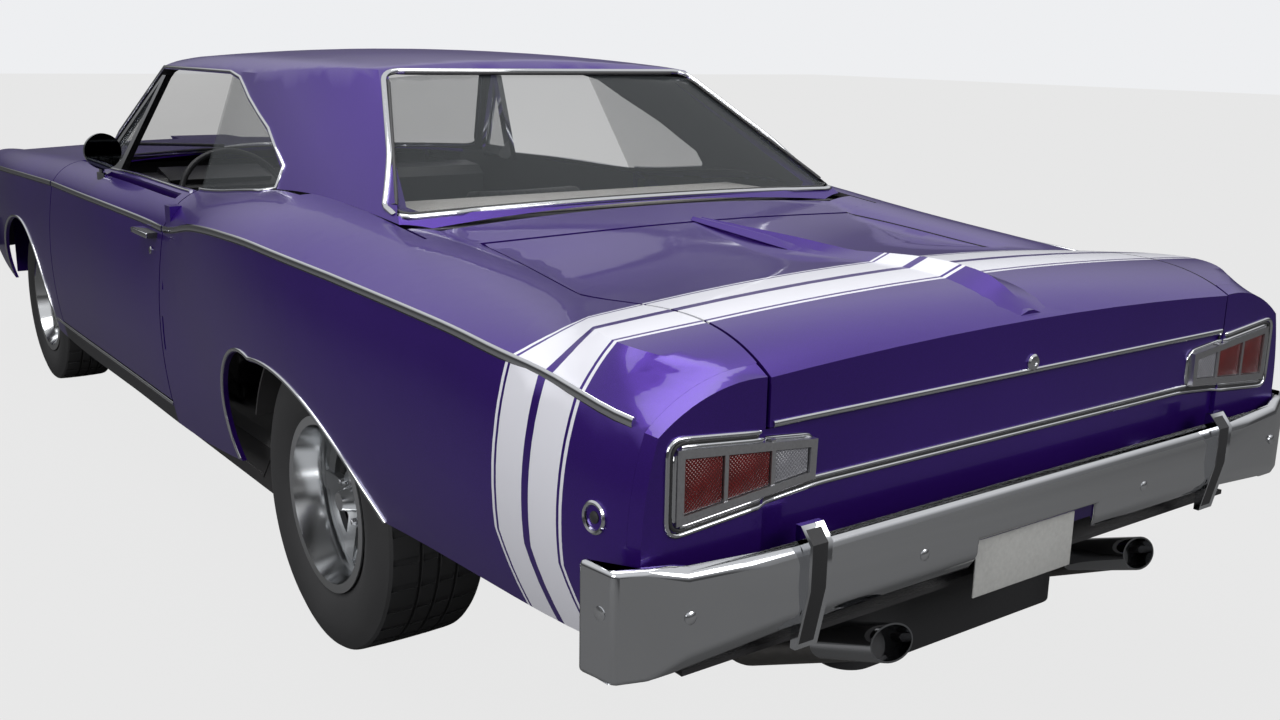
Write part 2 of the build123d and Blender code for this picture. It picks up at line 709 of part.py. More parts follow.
with BuildPart() as floor_pan:
    add(floor_sheet)
    with BuildSketch(Plane.YZ.offset(-1060)):
        with BuildLine():
            Polyline(*TUNNEL, close=True)
        make_face()
    extrude(amount=FIREWALL_X + 1060)
    add(tunnel_void.part, mode=Mode.SUBTRACT)
    for side in (1, -1):
        middle = side * (WHEEL_TUB_Y + OUT_Y) / 2
        half = (OUT_Y - WHEEL_TUB_Y) / 2
        # Room for the rear wheels
        block(-1700, -810, middle - half, middle + half, 200, 700, mode=Mode.SUBTRACT)
        # Box sills beside the cabin floor
        block(-800, 1180, side * 770 - 26, side * 770 + 26, CABIN_FLOOR_Z - 40, CABIN_FLOOR_Z + 90)
write(floor_pan.part, "floor_pan")

# Firewall with the door posts and hinge brackets
with BuildPart() as firewall:
    block(FIREWALL_X + SEAT_GAP, FIREWALL_X + 12, -730, 730, 300, 930)
    block(FIREWALL_X - REACH, FIREWALL_X + REACH, -120, 120, 200, 412, mode=Mode.SUBTRACT)
    for side in (1, -1):
        # Slot for the hood arm
        block(1200, 1250, side * HOOD_ARM_Y - 14, side * HOOD_ARM_Y + 14, 740, 1000, mode=Mode.SUBTRACT)
        # Cheeks and pin that carry the hood arm
        for lift in (-CHEEK_OFFSET, CHEEK_OFFSET):
            y = side * HOOD_ARM_Y + lift
            with BuildSketch(profile_plane(y - CHEEK_T / 2)):
                with Locations((HOOD_PIN_X, HOOD_PIN_Z)):
                    Circle(CHEEK_R)
                with Locations((FIREWALL_X + 4, HOOD_PIN_Z)):
                    Rectangle(8, 60)
                make_hull()
            extrude(amount=-CHEEK_T)
        with BuildSketch(profile_plane(side * HOOD_ARM_Y - 15)):
            with Locations((HOOD_PIN_X, HOOD_PIN_Z)):
                Circle(HINGE_PIN_R)
        extrude(amount=-30)
    for side in (1, -1):
        inner = side * 745
        block(1230, 1290, inner - 30, inner + 30, 292, 930)
        block(1230, 1290, side * 722 - 4, side * 722 + 4, 292, 930)
        for arm_z in DOOR_ARM_Z:
            for lift in (-1, 1):
                z = arm_z + lift * 17
                with BuildSketch(Plane.XY.offset(z - 4)):
                    with Locations((DOOR_PIN_X, side * DOOR_PIN_Y)):
                        Circle(8)
                    with Locations((1268, side * 764)):
                        Rectangle(40, 20)
                    make_hull()
                extrude(amount=8)
            with BuildSketch(Plane.XY.offset(arm_z - 21)):
                with Locations((DOOR_PIN_X, side * DOOR_PIN_Y)):
                    Circle(5)
            extrude(amount=42)
write(firewall.part, "firewall")

# Cowl panel under the windshield
cowl_skin = nose_shell & room(1000, HOOD_REAR_X - COWL_GAP, -REACH, hood_side_y - GAP, LOW_Z, HIGH_Z)
cowl_skin = cowl_skin - greenhouse(PILLAR_WALL + 40, pillars_low_z - 60, 1200)
with BuildPart() as cowl_top:
    add(cowl_skin)
    add(windshield.part, mode=Mode.SUBTRACT)
    mirror(about=Plane.XZ)
write(cowl_top.part, "cowl_top")

# Front frame rails, engine cross member and radiator support
RAIL_Y = 395.0
RAIL_HALF_W = 32.0
RAIL_FRONT_X = 2470.0
RAIL_TOP_Z = 395.0
with BuildPart() as front_frame:
    for side in (1, -1):
        y0 = side * RAIL_Y - RAIL_HALF_W
        y1 = side * RAIL_Y + RAIL_HALF_W
        block(1240, RAIL_FRONT_X, y0, y1, 300, RAIL_TOP_Z)
        block(-600, 1310, y0, y1, 160, CABIN_FLOOR_Z - FLOOR_T - SEAT_GAP)
        block(1240, 1310, y0, y1, 160, RAIL_TOP_Z)
    block(1640, 1770, -RAIL_Y, RAIL_Y, 215, 300)
    block(2380, 2410, -RAIL_Y - 60, RAIL_Y + 60, 300, 860)
    block(2376, 2420, -330, 330, 400, 820, mode=Mode.SUBTRACT)
write(front_frame.part, "front_frame")

# Engine bay side walls over the front wheels
APRON_Y = 452.0
APRON_T = 6.0
with BuildPart() as inner_fenders:
    block(1300, 2376, APRON_Y, APRON_Y + APRON_T, RAIL_TOP_Z + SEAT_GAP, 800)
    block(1300, 2376, APRON_Y, hood_side_y - 16, 800, 806)
    # Foot of the wall on the rail
    block(1300, 2376, RAIL_Y + 10, APRON_Y + APRON_T, RAIL_TOP_Z + SEAT_GAP, RAIL_TOP_Z + SEAT_GAP + APRON_T)
    # Opening for the upper arm
    block(1530, 1880, RAIL_Y, APRON_Y + REACH, 390, 560, mode=Mode.SUBTRACT)
    mirror(about=Plane.XZ)
write(inner_fenders.part, "inner_fenders")

# Rear wheel tubs, half drums over the wheels
TUB_R = 400.0
TUB_T = 6.0
with BuildPart() as wheel_tubs:
    with BuildSketch(profile_plane(WHEEL_TUB_Y - TUB_T - SEAT_GAP)):
        with Locations((REAR_AXLE_X, 360)):
            Circle(TUB_R)
    extrude(amount=-(905 - WHEEL_TUB_Y))
    with BuildSketch(profile_plane(WHEEL_TUB_Y - SEAT_GAP)):
        with Locations((REAR_AXLE_X, 360)):
            Circle(TUB_R - TUB_T)
    extrude(amount=-400, mode=Mode.SUBTRACT)
    block(-1800, -700, 400, 1000, -100, KICK_UP_Z + SEAT_GAP, mode=Mode.SUBTRACT)
    mirror(about=Plane.XZ)
write(wheel_tubs.part, "wheel_tubs")

# Shelf behind the rear seat
SHELF_Z = 987.0
SHELF_T = 8.0
with BuildPart() as package_shelf:
    with BuildSketch(Plane.XY.offset(SHELF_Z)):
        with BuildLine():
            Polyline((-905, -660), (-905, 660), (-1368, 640), (-1368, -640), close=True)
        make_face()
    extrude(amount=SHELF_T)
    for side in (1, -1):
        # Cheeks and pin that carry the trunk lid's arm
        for lift in (-CHEEK_OFFSET, CHEEK_OFFSET):
            y = side * TRUNK_ARM_Y + lift
            with BuildSketch(profile_plane(y - CHEEK_T / 2)):
                with Locations((TRUNK_PIN_X, TRUNK_PIN_Z)):
                    Circle(CHEEK_R)
                with Locations((TRUNK_PIN_X, SHELF_Z + SHELF_T / 2)):
                    Rectangle(60, SHELF_T)
                make_hull()
            extrude(amount=-CHEEK_T)
        with BuildSketch(profile_plane(side * TRUNK_ARM_Y - CHEEK_OFFSET)):
            with Locations((TRUNK_PIN_X, TRUNK_PIN_Z)):
                Circle(HINGE_PIN_R)
        extrude(amount=-2 * CHEEK_OFFSET)
write(package_shelf.part, "package_shelf")

# Seats
SEAT_Y = 397.0
SEAT_HALF = 240.0
CUSHION = [(560, 292), (560, 420), (520, 452), (60, 420), (20, 380), (40, 292)]
BACKREST = [(110, 424), (-30, 400), (-130, 905), (-104, 930), (-40, 926), (-10, 890)]
with BuildPart() as front_seats:
    for side in (1, -1):
        middle = side * SEAT_Y
        add(profile_bar(CUSHION, middle - SEAT_HALF, middle + SEAT_HALF))
        add(profile_bar(BACKREST, middle - SEAT_HALF + 8, middle + SEAT_HALF - 8))
        for rail in (-180, 180):
            block(80, 500, middle + rail - 15, middle + rail + 15, CABIN_FLOOR_Z, 292)
write(front_seats.part, "front_seats")

REAR_CUSHION = [
    (-330, CABIN_FLOOR_Z + 70), (-330, 400), (-380, 425), (-800, 400), (-800, 345), (-690, 345), (-640, 302),
]
REAR_BACK = [(-740, 420), (-800, 350), (-836, 350), (-960, 900), (-930, 915), (-880, 905)]
with BuildPart() as rear_seat:
    add(profile_bar(REAR_CUSHION, -560, 560))
    add(profile_bar(REAR_BACK, -575, 575))
    block(-630, -340, -560, 560, CABIN_FLOOR_Z, CABIN_FLOOR_Z + 70)
    block(-1000, -300, -158, 158, 200, 420, mode=Mode.SUBTRACT)
write(rear_seat.part, "rear_seat")

# Dashboard, steering column and wheel
DASH_LINE = [(1000, 900), (970, 915), (850, 905), (812, 870), (830, 720), (900, 690), (1000, 720)]
COLUMN_LOW = (1150.0, 600.0)
WHEEL_AT = (676.0, 828.0)
COLUMN_Y = 375.0
STEERING_R = 195.0
column_run = (COLUMN_LOW[0] - WHEEL_AT[0], COLUMN_LOW[1] - WHEEL_AT[1])
column_length = sqrt(column_run[0] ** 2 + column_run[1] ** 2)
column_axis = (column_run[0] / column_length, 0, column_run[1] / column_length)
column_plane = Plane(
    origin=(WHEEL_AT[0], COLUMN_Y, WHEEL_AT[1]), x_dir=(0, 1, 0), z_dir=column_axis
)
COLUMN_START = 62.0
with BuildPart() as steering_column:
    with BuildSketch(column_plane.offset(COLUMN_START)):
        Circle(26)
    extrude(amount=column_length - COLUMN_START - 40)
    with BuildSketch(column_plane.offset(COLUMN_START)):
        Circle(10 + PIN_CLEARANCE)
    extrude(amount=60, mode=Mode.SUBTRACT)
with BuildPart() as dashboard:
    add(profile_bar(DASH_LINE, -735, 735))
    add(steering_column.part, mode=Mode.SUBTRACT)
    # Instrument hood in front of the driver
    with BuildSketch(profile_plane(COLUMN_Y - 190)):
        with BuildLine():
            Polyline((815, 900), (960, 935), (980, 905), (840, 860), close=True)
        make_face()
    extrude(amount=-380)
    # Rail that ties the dash to the firewall
    for side in (1, -1):
        block(990, FIREWALL_X, side * 600 - 20, side * 600 + 20, 740, 780)
with BuildPart() as steering_wheel:
    with BuildSketch(Plane(origin=column_plane.origin, x_dir=column_axis, z_dir=(0, 1, 0))):
        with Locations((0, STEERING_R)):
            Circle(11)
    revolve(axis=Axis(column_plane.origin, column_axis))
    with BuildSketch(column_plane.offset(14)):
        Circle(38)
    extrude(amount=30)
    for spoke_turn in (0, 180, 270):
        spoke_y = STEERING_R / 2 * cos(radians(spoke_turn))
        spoke_up = STEERING_R / 2 * sin(radians(spoke_turn))
        with BuildSketch(column_plane.offset(24)):
            with Locations((spoke_y, spoke_up)):
                Rectangle(STEERING_R - 8, 26, rotation=spoke_turn)
        extrude(amount=-30)
    with BuildSketch(column_plane.offset(40)):
        Circle(10)
    extrude(amount=70)
write(steering_column.part, "steering_column")
write(dashboard.part, "dashboard")
write(steering_wheel.part, "steering_wheel")

# Engine, gearbox with driveshaft, exhaust and fuel tank
ENGINE_REAR_X = 1330.0
with BuildPart() as engine:
    block(ENGINE_REAR_X, 2010, -230, 230, 310, 800)
    block(1380, 1960, -300, 300, 520, 700)
    block(1650, 1760, -240, 240, 300 + SEAT_GAP, 320)
write(engine.part, "engine")

SHAFT_Z = 330.0
with BuildPart() as driveline:
    with BuildSketch(Plane.YZ.offset(700)):
        with Locations((0, 315)):
            Circle(60)
    with BuildSketch(Plane.YZ.offset(ENGINE_REAR_X - SEAT_GAP)):
        with Locations((0, 310)):
            Circle(84)
    loft()
    with BuildSketch(Plane.YZ.offset(-1100)):
        with Locations((0, SHAFT_Z)):
            Circle(38)
    extrude(amount=1800)
write(driveline.part, "driveline")

# Rear axle with its centre casing and leaf springs
AXLE_Z = REAR_TYRE_R
REAR_HUB_END = REAR_TRACK_Y + 30
with BuildPart() as rear_axle:
    with BuildSketch(profile_plane(-600)):
        with Locations((REAR_AXLE_X, AXLE_Z)):
            Circle(40)
    extrude(amount=-1200)
    with BuildSketch(profile_plane(-REAR_HUB_END)):
        with Locations((REAR_AXLE_X, AXLE_Z)):
            Circle(HUB_R)
    extrude(amount=-2 * REAR_HUB_END)
    with Locations((REAR_AXLE_X, 0, AXLE_Z)):
        Sphere(104)
    with BuildSketch(profile_plane(-618)):
        with Locations((REAR_AXLE_X, AXLE_Z)):
            Circle(130)
    extrude(amount=-20)
    with BuildSketch(profile_plane(618)):
        with Locations((REAR_AXLE_X, AXLE_Z)):
            Circle(130)
    extrude(amount=20)
    add(driveline.part, mode=Mode.SUBTRACT)
write(rear_axle.part, "rear_axle")

SPRING_Y = 540.0
with BuildPart() as rear_springs:
    with BuildSketch(profile_plane(SPRING_Y - 32)):
        with BuildLine():
            ThreePointArc((-640, 192), (REAR_AXLE_X, 262), (-1980, 372))
        trace(line_width=24)
        with Locations((-640, 192), (-1980, 372)):
            Circle(26)
    extrude(amount=-64)
    block(REAR_AXLE_X - 60, REAR_AXLE_X + 60, SPRING_Y - 36, SPRING_Y + 36, 262, AXLE_Z - 20)
    block(-2006, -1954, SPRING_Y - 32, SPRING_Y + 32, 372, TRUNK_FLOOR_Z - FLOOR_T - SEAT_GAP)
    block(-664, -616, SPRING_Y - 32, SPRING_Y + 32, 192, CABIN_FLOOR_Z - FLOOR_T - SEAT_GAP)
    add(rear_axle.part, mode=Mode.SUBTRACT)
    add(front_frame.part, mode=Mode.SUBTRACT)
    mirror(about=Plane.XZ)
write(rear_springs.part, "rear_springs")

with BuildPart() as fuel_tank:
    block(-2440, -1820, -330, 330, 250, TRUNK_FLOOR_Z - FLOOR_T - SEAT_GAP)
    fillet(fuel_tank.edges().filter_by(Axis.Z), 60)
write(fuel_tank.part, "fuel_tank")

PIPE_R = 30.0
MUFFLER_HALF_H = PIPE_R + 1
PIPE_Z = CABIN_FLOOR_Z - FLOOR_T - SEAT_GAP - MUFFLER_HALF_H
with BuildPart() as exhaust:
    with BuildLine() as pipe_line:
        FilletPolyline(
            (1350, 262, 262), (1150, 262, PIPE_Z), (-700, 262, PIPE_Z), (-930, 460, 320),
            (-1090, 460, 424), (-1500, 460, 424), (-1860, 400, 300), (-2200, 375, 216), (-2545, 375, 372),
            radius=70,
        )
    with BuildSketch(Plane(origin=(1350, 262, 262), x_dir=(0, 1, 0), z_dir=pipe_line.wires()[0] % 0)):
        Circle(PIPE_R)
    sweep()
    with BuildSketch(Plane.YZ.offset(-380)):
        with Locations((262, PIPE_Z)):
            Ellipse(92, MUFFLER_HALF_H)
    extrude(amount=520)
    mirror(about=Plane.XZ)
write(exhaust.part, "exhaust")


# Wheels
def tyre_profile(radius, width, rim):
    """Half section outline of a tyre as (across, out) points, with its rounded shoulders."""
    half = width / 2
    with BuildSketch(Plane.XY) as section:
        with BuildLine():
            bead = half * 0.80
            tread = half * 0.76
            corner = half * 0.90
            bulge_r = (rim + radius) / 2
            Polyline((-bead, rim + 1), (-bead, rim - 6), (bead, rim - 6), (bead, rim + 1))
            ThreePointArc((bead, rim + 1), (half, bulge_r), (corner, radius - 16))
            ThreePointArc((corner, radius - 16), (half * 0.86, radius - 6), (tread, radius - 2))
            ThreePointArc((tread, radius - 2), (0, radius), (-tread, radius - 2))
            ThreePointArc((-tread, radius - 2), (-half * 0.86, radius - 6), (-corner, radius - 16))
            ThreePointArc((-corner, radius - 16), (-half, bulge_r), (-bead, rim + 1))
        make_face()
    return section.sketch


def make_tyre(x, y, z, radius, width):
    """Tyre on its wheel, revolved about the wheel's axis."""
    wheel_frame = Plane(origin=(x, y, z), x_dir=(0, 1, 0), z_dir=(1, 0, 0))
    section = wheel_frame * tyre_profile(radius, width, RIM_R)
    with BuildPart() as tyre:
        add(section)
        revolve(axis=Axis((x, y, z), (0, 1, 0)))
    return tyre.part


SPOKES = 5
RIM_LIP = 12.0


def make_rim(x, y, z, width, dish, outward):
    """Rim with barrel, lips, five spokes, a cone cap and a blind bore for the hub."""
    half = width / 2 * 0.90
    seat = RIM_R - 6 - SEAT_GAP
    lip = RIM_R + 6
    face = dish
    wheel_plane = Plane(origin=(x, y, z), x_dir=(1, 0, 0), z_dir=(0, outward, 0))
    section_plane = Plane(origin=(x, y, z), x_dir=(0, outward, 0), z_dir=(-outward, 0, 0))
    with BuildPart() as rim:
        with BuildSketch(section_plane):
            with BuildLine():
                Polyline(
                    (-half, lip), (-half * 0.97, lip), (-half * 0.97, seat), (half * 0.97, seat),
                    (half * 0.97, lip), (half, lip), (half, seat - RIM_WALL), (half * 0.4, seat - 26),
                    (-half * 0.4, seat - 26), (-half, seat - RIM_WALL), close=True,
                )
            make_face()
        revolve(axis=Axis((x, y, z), (0, 1, 0)))
        with BuildSketch(wheel_plane.offset(face - 30)):
            Circle(72)
            with PolarLocations(0, SPOKES):
                with Locations((110, 0)):
                    Rectangle(150, 46)
        extrude(amount=22)
        with BuildSketch(wheel_plane.offset(face - 30)):
            Circle(seat - 22)
            Circle(seat - 60, mode=Mode.SUBTRACT)
        extrude(amount=14)
        with BuildSketch(wheel_plane.offset(-half * 0.3)):
            Circle(60)
        extrude(amount=face - 30 + half * 0.3 + 1)
        with BuildSketch(wheel_plane.offset(face - 8)):
            Circle(36)
        with BuildSketch(wheel_plane.offset(face + 34)):
            Circle(22)
        loft()
        with BuildSketch(wheel_plane.offset(-half)):
            Circle(HUB_R + HUB_CLEARANCE)
        extrude(amount=half + face - 20, mode=Mode.SUBTRACT)
    return rim.part


# Each row: name, axle x, centre y, hub z, tyre radius, tyre width, spoke face from the centre
WHEELS = [
    ("front_left", FRONT_AXLE_X, FRONT_TRACK_Y, FRONT_TYRE_R, FRONT_TYRE_R, FRONT_TYRE_W, 34.0),
    ("front_right", FRONT_AXLE_X, -FRONT_TRACK_Y, FRONT_TYRE_R, FRONT_TYRE_R, FRONT_TYRE_W, 34.0),
    ("rear_left", REAR_AXLE_X, REAR_TRACK_Y, REAR_TYRE_R, REAR_TYRE_R, REAR_TYRE_W, 50.0),
    ("rear_right", REAR_AXLE_X, -REAR_TRACK_Y, REAR_TYRE_R, REAR_TYRE_R, REAR_TYRE_W, 50.0),
]
for name, x, y, z, radius, width, dish in WHEELS:
    outward = 1 if y > 0 else -1
    write(make_tyre(x, y, z, radius, width), "tyre_" + name)
    write(make_rim(x, y, z, width, dish, outward), "rim_" + name)

# Steering knuckles with their spindles, and the arms that carry them
KING_Y = 640.0
LOWER_ARM_Z = FRONT_TYRE_R - 124
UPPER_ARM_Z = FRONT_TYRE_R + 136
ARM_HALF_T = 10.0
FRONT_HUB_END = FRONT_TRACK_Y + 34 - 22
with BuildPart() as knuckle_left:
    with BuildSketch(Plane.XY.offset(LOWER_ARM_Z + ARM_HALF_T + SEAT_GAP)):
        with Locations((FRONT_AXLE_X, KING_Y)):
            Circle(22)
    extrude(amount=UPPER_ARM_Z - LOWER_ARM_Z - 2 * (ARM_HALF_T + SEAT_GAP))
    with BuildSketch(profile_plane(KING_Y)):
        with Locations((FRONT_AXLE_X, FRONT_TYRE_R)):
            Circle(HUB_R)
    extrude(amount=-(FRONT_HUB_END - 6 - KING_Y))
    # Steering arm
    block(
        FRONT_AXLE_X - 160, FRONT_AXLE_X - 16, KING_Y - 14, KING_Y + 6, FRONT_TYRE_R - 90, FRONT_TYRE_R - 70
    )
with BuildPart() as knuckle_right:
    add(mirror(knuckle_left.part, about=Plane.XZ))
write(knuckle_left.part, "knuckle_left")
write(knuckle_right.part, "knuckle_right")

with BuildPart() as front_suspension:
    for z, reach in ((LOWER_ARM_Z, 70), (UPPER_ARM_Z, 60)):
        with BuildSketch(Plane.XY.offset(z - ARM_HALF_T)):
            with Locations((FRONT_AXLE_X, KING_Y)):
                Circle(24)
            with Locations((FRONT_AXLE_X, RAIL_Y + 40)):
                Rectangle(4 * reach, 16)
            make_hull()
        extrude(amount=2 * ARM_HALF_T)
    block(FRONT_AXLE_X - 60, FRONT_AXLE_X + 60, RAIL_Y + 32 + SEAT_GAP, RAIL_Y + 50, 201, 480)
    block(FRONT_AXLE_X - 60, FRONT_AXLE_X + 60, RAIL_Y - 30, RAIL_Y + 50, 201, 214)
    mirror(about=Plane.XZ)
write(front_suspension.part, "front_suspension")

# Nose: header panel, grille, headlamps, valance and front bumper
GRILLE_X = 2496.0
GRILLE_T = 14.0
GRILLE_Y = 828.0
GRILLE_Z = (612.0, 838.0)
HEADLAMPS = [(-700, 728), (-515, 728), (515, 728), (700, 728)]
HEADLAMP_R = 88.0
header_half_w = HOOD_HALF_W - GAP
header_low_z = GRILLE_Z[1] + SEAT_GAP
header_top = nose_shell & room(HOOD_FRONT_X + GAP, FENDER_FRONT_X, -REACH, header_half_w, LOW_Z, HIGH_Z)
header_face = nose_solid & room(
    FENDER_FRONT_X - SKIN, FENDER_FRONT_X, -REACH, header_half_w, header_low_z, HIGH_Z
)
with BuildPart() as header_panel:
    add(header_top)
    add(header_face)
    block(HOOD_FRONT_X - 60, FENDER_FRONT_X, -REACH, header_half_w, header_low_z, header_low_z + 8)
    mirror(about=Plane.XZ)
write(header_panel.part, "header_panel")

with BuildPart() as grille:
    block(GRILLE_X, GRILLE_X + GRILLE_T, -GRILLE_Y, GRILLE_Y, GRILLE_Z[0], GRILLE_Z[1])
    block(GRILLE_X - REACH, GRILLE_X + 40, -GRILLE_Y + 14, GRILLE_Y - 14, GRILLE_Z[0] + 14, GRILLE_Z[1] - 14,
          mode=Mode.SUBTRACT)
    for row in range(7):
        z = GRILLE_Z[0] + 14 + (row + 0.5) * (GRILLE_Z[1] - GRILLE_Z[0] - 28) / 7
        block(GRILLE_X + 2, GRILLE_X + 12, -GRILLE_Y + 7, GRILLE_Y - 7, z - 3, z + 3)
    for column in (-390, -195, 0, 195, 390):
        block(GRILLE_X, GRILLE_X + GRILLE_T, column - 5, column + 5, GRILLE_Z[0] + 7, GRILLE_Z[1] - 7)
    for y, z in HEADLAMPS:
        with BuildSketch(Plane(origin=(GRILLE_X - REACH, y, z), x_dir=(0, 1, 0), z_dir=(1, 0, 0))):
            Circle(HEADLAMP_R + SEAT_GAP)
        extrude(amount=60, mode=Mode.SUBTRACT)
write(grille.part, "grille")

with BuildPart() as headlamps:
    for y, z in HEADLAMPS:
        with BuildSketch(Plane(origin=(GRILLE_X - 56, y, z), x_dir=(0, 1, 0), z_dir=(1, 0, 0))):
            Circle(HEADLAMP_R)
        extrude(amount=78)
        with BuildSketch(Plane(origin=(GRILLE_X + 12, y, z), x_dir=(0, 1, 0), z_dir=(1, 0, 0))):
            Circle(72)
        extrude(amount=20, mode=Mode.SUBTRACT)
        with BuildSketch(Plane(origin=(GRILLE_X + 10, y, z), x_dir=(0, 1, 0), z_dir=(1, 0, 0))):
            Circle(72)
        with BuildSketch(Plane(origin=(GRILLE_X + 18, y, z), x_dir=(0, 1, 0), z_dir=(1, 0, 0))):
            Circle(30)
        loft()
write(headlamps.part, "headlamps")

FRONT_BUMPER_PLAN = [(2624, 0), (2622, 620), (2606, 870), (2560, 958), (2450, 974)]
FRONT_BUMPER_PROFILE = [
    (2400, 596), (2585, 596), (2616, 578), (2626, 545), (2620, 480), (2590, 440), (2400, 436),
]
BRACKET_HALF_W = 24.0
BRACKET_TOP_Z = 500.0
front_bar = bumper_bar(FRONT_BUMPER_PLAN, BUMPER_WALL, FRONT_BUMPER_PROFILE)
with BuildPart() as front_bumper:
    add(front_bar)
    for side in (1, -1):
        y0 = side * RAIL_Y - BRACKET_HALF_W
        y1 = side * RAIL_Y + BRACKET_HALF_W
        block(RAIL_FRONT_X + SEAT_GAP, 2612, y0, y1, 460, BRACKET_TOP_Z)
        block(RAIL_FRONT_X + SEAT_GAP, 2500, y0, y1, 340, BRACKET_TOP_Z)
write(front_bumper.part, "front_bumper")

with BuildPart() as front_valance:
    block(GRILLE_X + 3, GRILLE_X + 11, -790, 790, 330, GRILLE_Z[0] - SEAT_GAP)
    # Slots that sit on the bumper's brackets
    slot_half = BRACKET_HALF_W + SEAT_GAP
    for side in (1, -1):
        block(GRILLE_X - 60, GRILLE_X + 60, side * RAIL_Y - slot_half, side * RAIL_Y + slot_half,
              330, BRACKET_TOP_Z + SEAT_GAP, mode=Mode.SUBTRACT)
write(front_valance.part, "front_valance")
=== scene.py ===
import json
import math

import bpy
from mathutils import Matrix, Vector

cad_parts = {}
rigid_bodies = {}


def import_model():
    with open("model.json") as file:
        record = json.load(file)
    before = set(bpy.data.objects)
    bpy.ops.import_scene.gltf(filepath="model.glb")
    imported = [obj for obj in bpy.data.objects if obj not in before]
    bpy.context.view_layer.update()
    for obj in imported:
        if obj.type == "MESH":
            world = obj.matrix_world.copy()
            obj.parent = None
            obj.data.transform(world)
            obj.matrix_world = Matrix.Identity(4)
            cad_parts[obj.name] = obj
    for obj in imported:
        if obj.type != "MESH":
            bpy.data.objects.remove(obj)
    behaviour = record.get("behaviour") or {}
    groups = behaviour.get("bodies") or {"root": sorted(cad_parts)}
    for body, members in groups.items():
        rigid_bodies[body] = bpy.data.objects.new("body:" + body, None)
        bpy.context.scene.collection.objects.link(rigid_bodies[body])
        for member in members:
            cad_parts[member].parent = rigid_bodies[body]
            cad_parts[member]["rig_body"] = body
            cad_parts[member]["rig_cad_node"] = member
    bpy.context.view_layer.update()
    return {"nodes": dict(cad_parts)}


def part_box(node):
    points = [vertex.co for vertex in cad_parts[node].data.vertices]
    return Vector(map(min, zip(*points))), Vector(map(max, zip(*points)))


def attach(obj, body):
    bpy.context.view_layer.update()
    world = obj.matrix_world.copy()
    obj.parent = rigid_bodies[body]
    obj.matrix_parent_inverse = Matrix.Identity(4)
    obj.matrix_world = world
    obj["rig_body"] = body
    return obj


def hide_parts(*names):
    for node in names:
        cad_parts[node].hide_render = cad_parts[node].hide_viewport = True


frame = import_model()
nodes = frame["nodes"]
scene = bpy.context.scene
print("frame loaded with", len(nodes), "nodes")


# Small helpers for working as in the viewport

def alone(piece):
    bpy.ops.object.select_all(action="DESELECT")
    piece.select_set(True)
    bpy.context.view_layer.objects.active = piece


def named(name):
    # the object that an operator has just added
    piece = bpy.context.object
    piece.name = name
    return piece


def editAll(piece):
    alone(piece)
    bpy.ops.object.mode_set(mode="EDIT")
    bpy.ops.mesh.select_all(action="SELECT")


def leaveEdit():
    bpy.ops.object.mode_set(mode="OBJECT")


def selectFaces(piece, wanted):
    # object mode in, edit mode out, with only the wanted faces selected
    alone(piece)
    bpy.ops.object.mode_set(mode="EDIT")
    bpy.ops.mesh.select_mode(type="FACE")
    bpy.ops.mesh.select_all(action="DESELECT")
    leaveEdit()
    for face in piece.data.polygons:
        face.select = bool(wanted(face))
    bpy.ops.object.mode_set(mode="EDIT")


def applyAll(piece):
    alone(piece)
    for modifier in list(piece.modifiers):
        bpy.ops.object.modifier_apply(modifier=modifier.name)


def smooth(piece, degrees=32):
    alone(piece)
    bpy.ops.object.shade_smooth_by_angle(angle=math.radians(degrees))


def settled(piece):
    # the finished object sits at the origin, with its place in its mesh
    alone(piece)
    bpy.ops.object.transform_apply(location=True, rotation=True, scale=True)


def mergedCopy(nodeName, pieceName):
    piece = nodes[nodeName].copy()
    piece.data = nodes[nodeName].data.copy()
    piece.name = pieceName
    piece.parent = None
    piece.hide_render = False
    piece.hide_viewport = False
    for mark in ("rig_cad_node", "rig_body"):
        if mark in piece:
            del piece[mark]
    scene.collection.objects.link(piece)
    editAll(piece)
    bpy.ops.mesh.remove_doubles(threshold=0.00002)
    leaveEdit()
    if piece.data.has_custom_normals:
        bpy.ops.mesh.customdata_custom_splitnormals_clear()
    return piece


def finished(piece, material, body):
    if material is not None:
        piece.data.materials.clear()
        piece.data.materials.append(material)
    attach(piece, body)
    return piece


# Shader sums are written as plain arithmetic on sockets

class Wire:
    def __init__(self, tree, socket):
        self.tree = tree
        self.socket = socket

    def maths(self, operation, *others):
        node = self.tree.nodes.new("ShaderNodeMath")
        node.operation = operation
        for place, value in zip(node.inputs, (self,) + others):
            plug(self.tree, place, value)
        return Wire(self.tree, node.outputs[0])

    def __add__(self, other):
        return self.maths("ADD", other)

    __radd__ = __add__

    def __sub__(self, other):
        return self.maths("SUBTRACT", other)

    def __rsub__(self, other):
        return (self * -1.0) + other

    def __mul__(self, other):
        return self.maths("MULTIPLY", other)

    __rmul__ = __mul__

    def __truediv__(self, other):
        return self.maths("DIVIDE", other)

    def size(self):
        return self.maths("ABSOLUTE")

    def above(self, edge, softness=0.0004):
        # 0 below the edge and 1 above it, with a soft step between
        return ((self - edge) / softness + 0.5).maths("MINIMUM", 1.0).maths("MAXIMUM", 0.0)

    def within(self, low, high, softness=0.0004):
        return self.above(low, softness) * (1.0 - self.above(high, softness))

    def least(self, other):
        return self.maths("MINIMUM", other)

    def most(self, other):
        return self.maths("MAXIMUM", other)

    def node(self, kind, output=0, settings=None, **inputs):
        made = self.tree.nodes.new(kind)
        for name, value in (settings or {}).items():
            setattr(made, name, value)
        for name, value in inputs.items():
            plug(self.tree, made.inputs[name.replace("_", " ")], value)
        return Wire(self.tree, made.outputs[output])


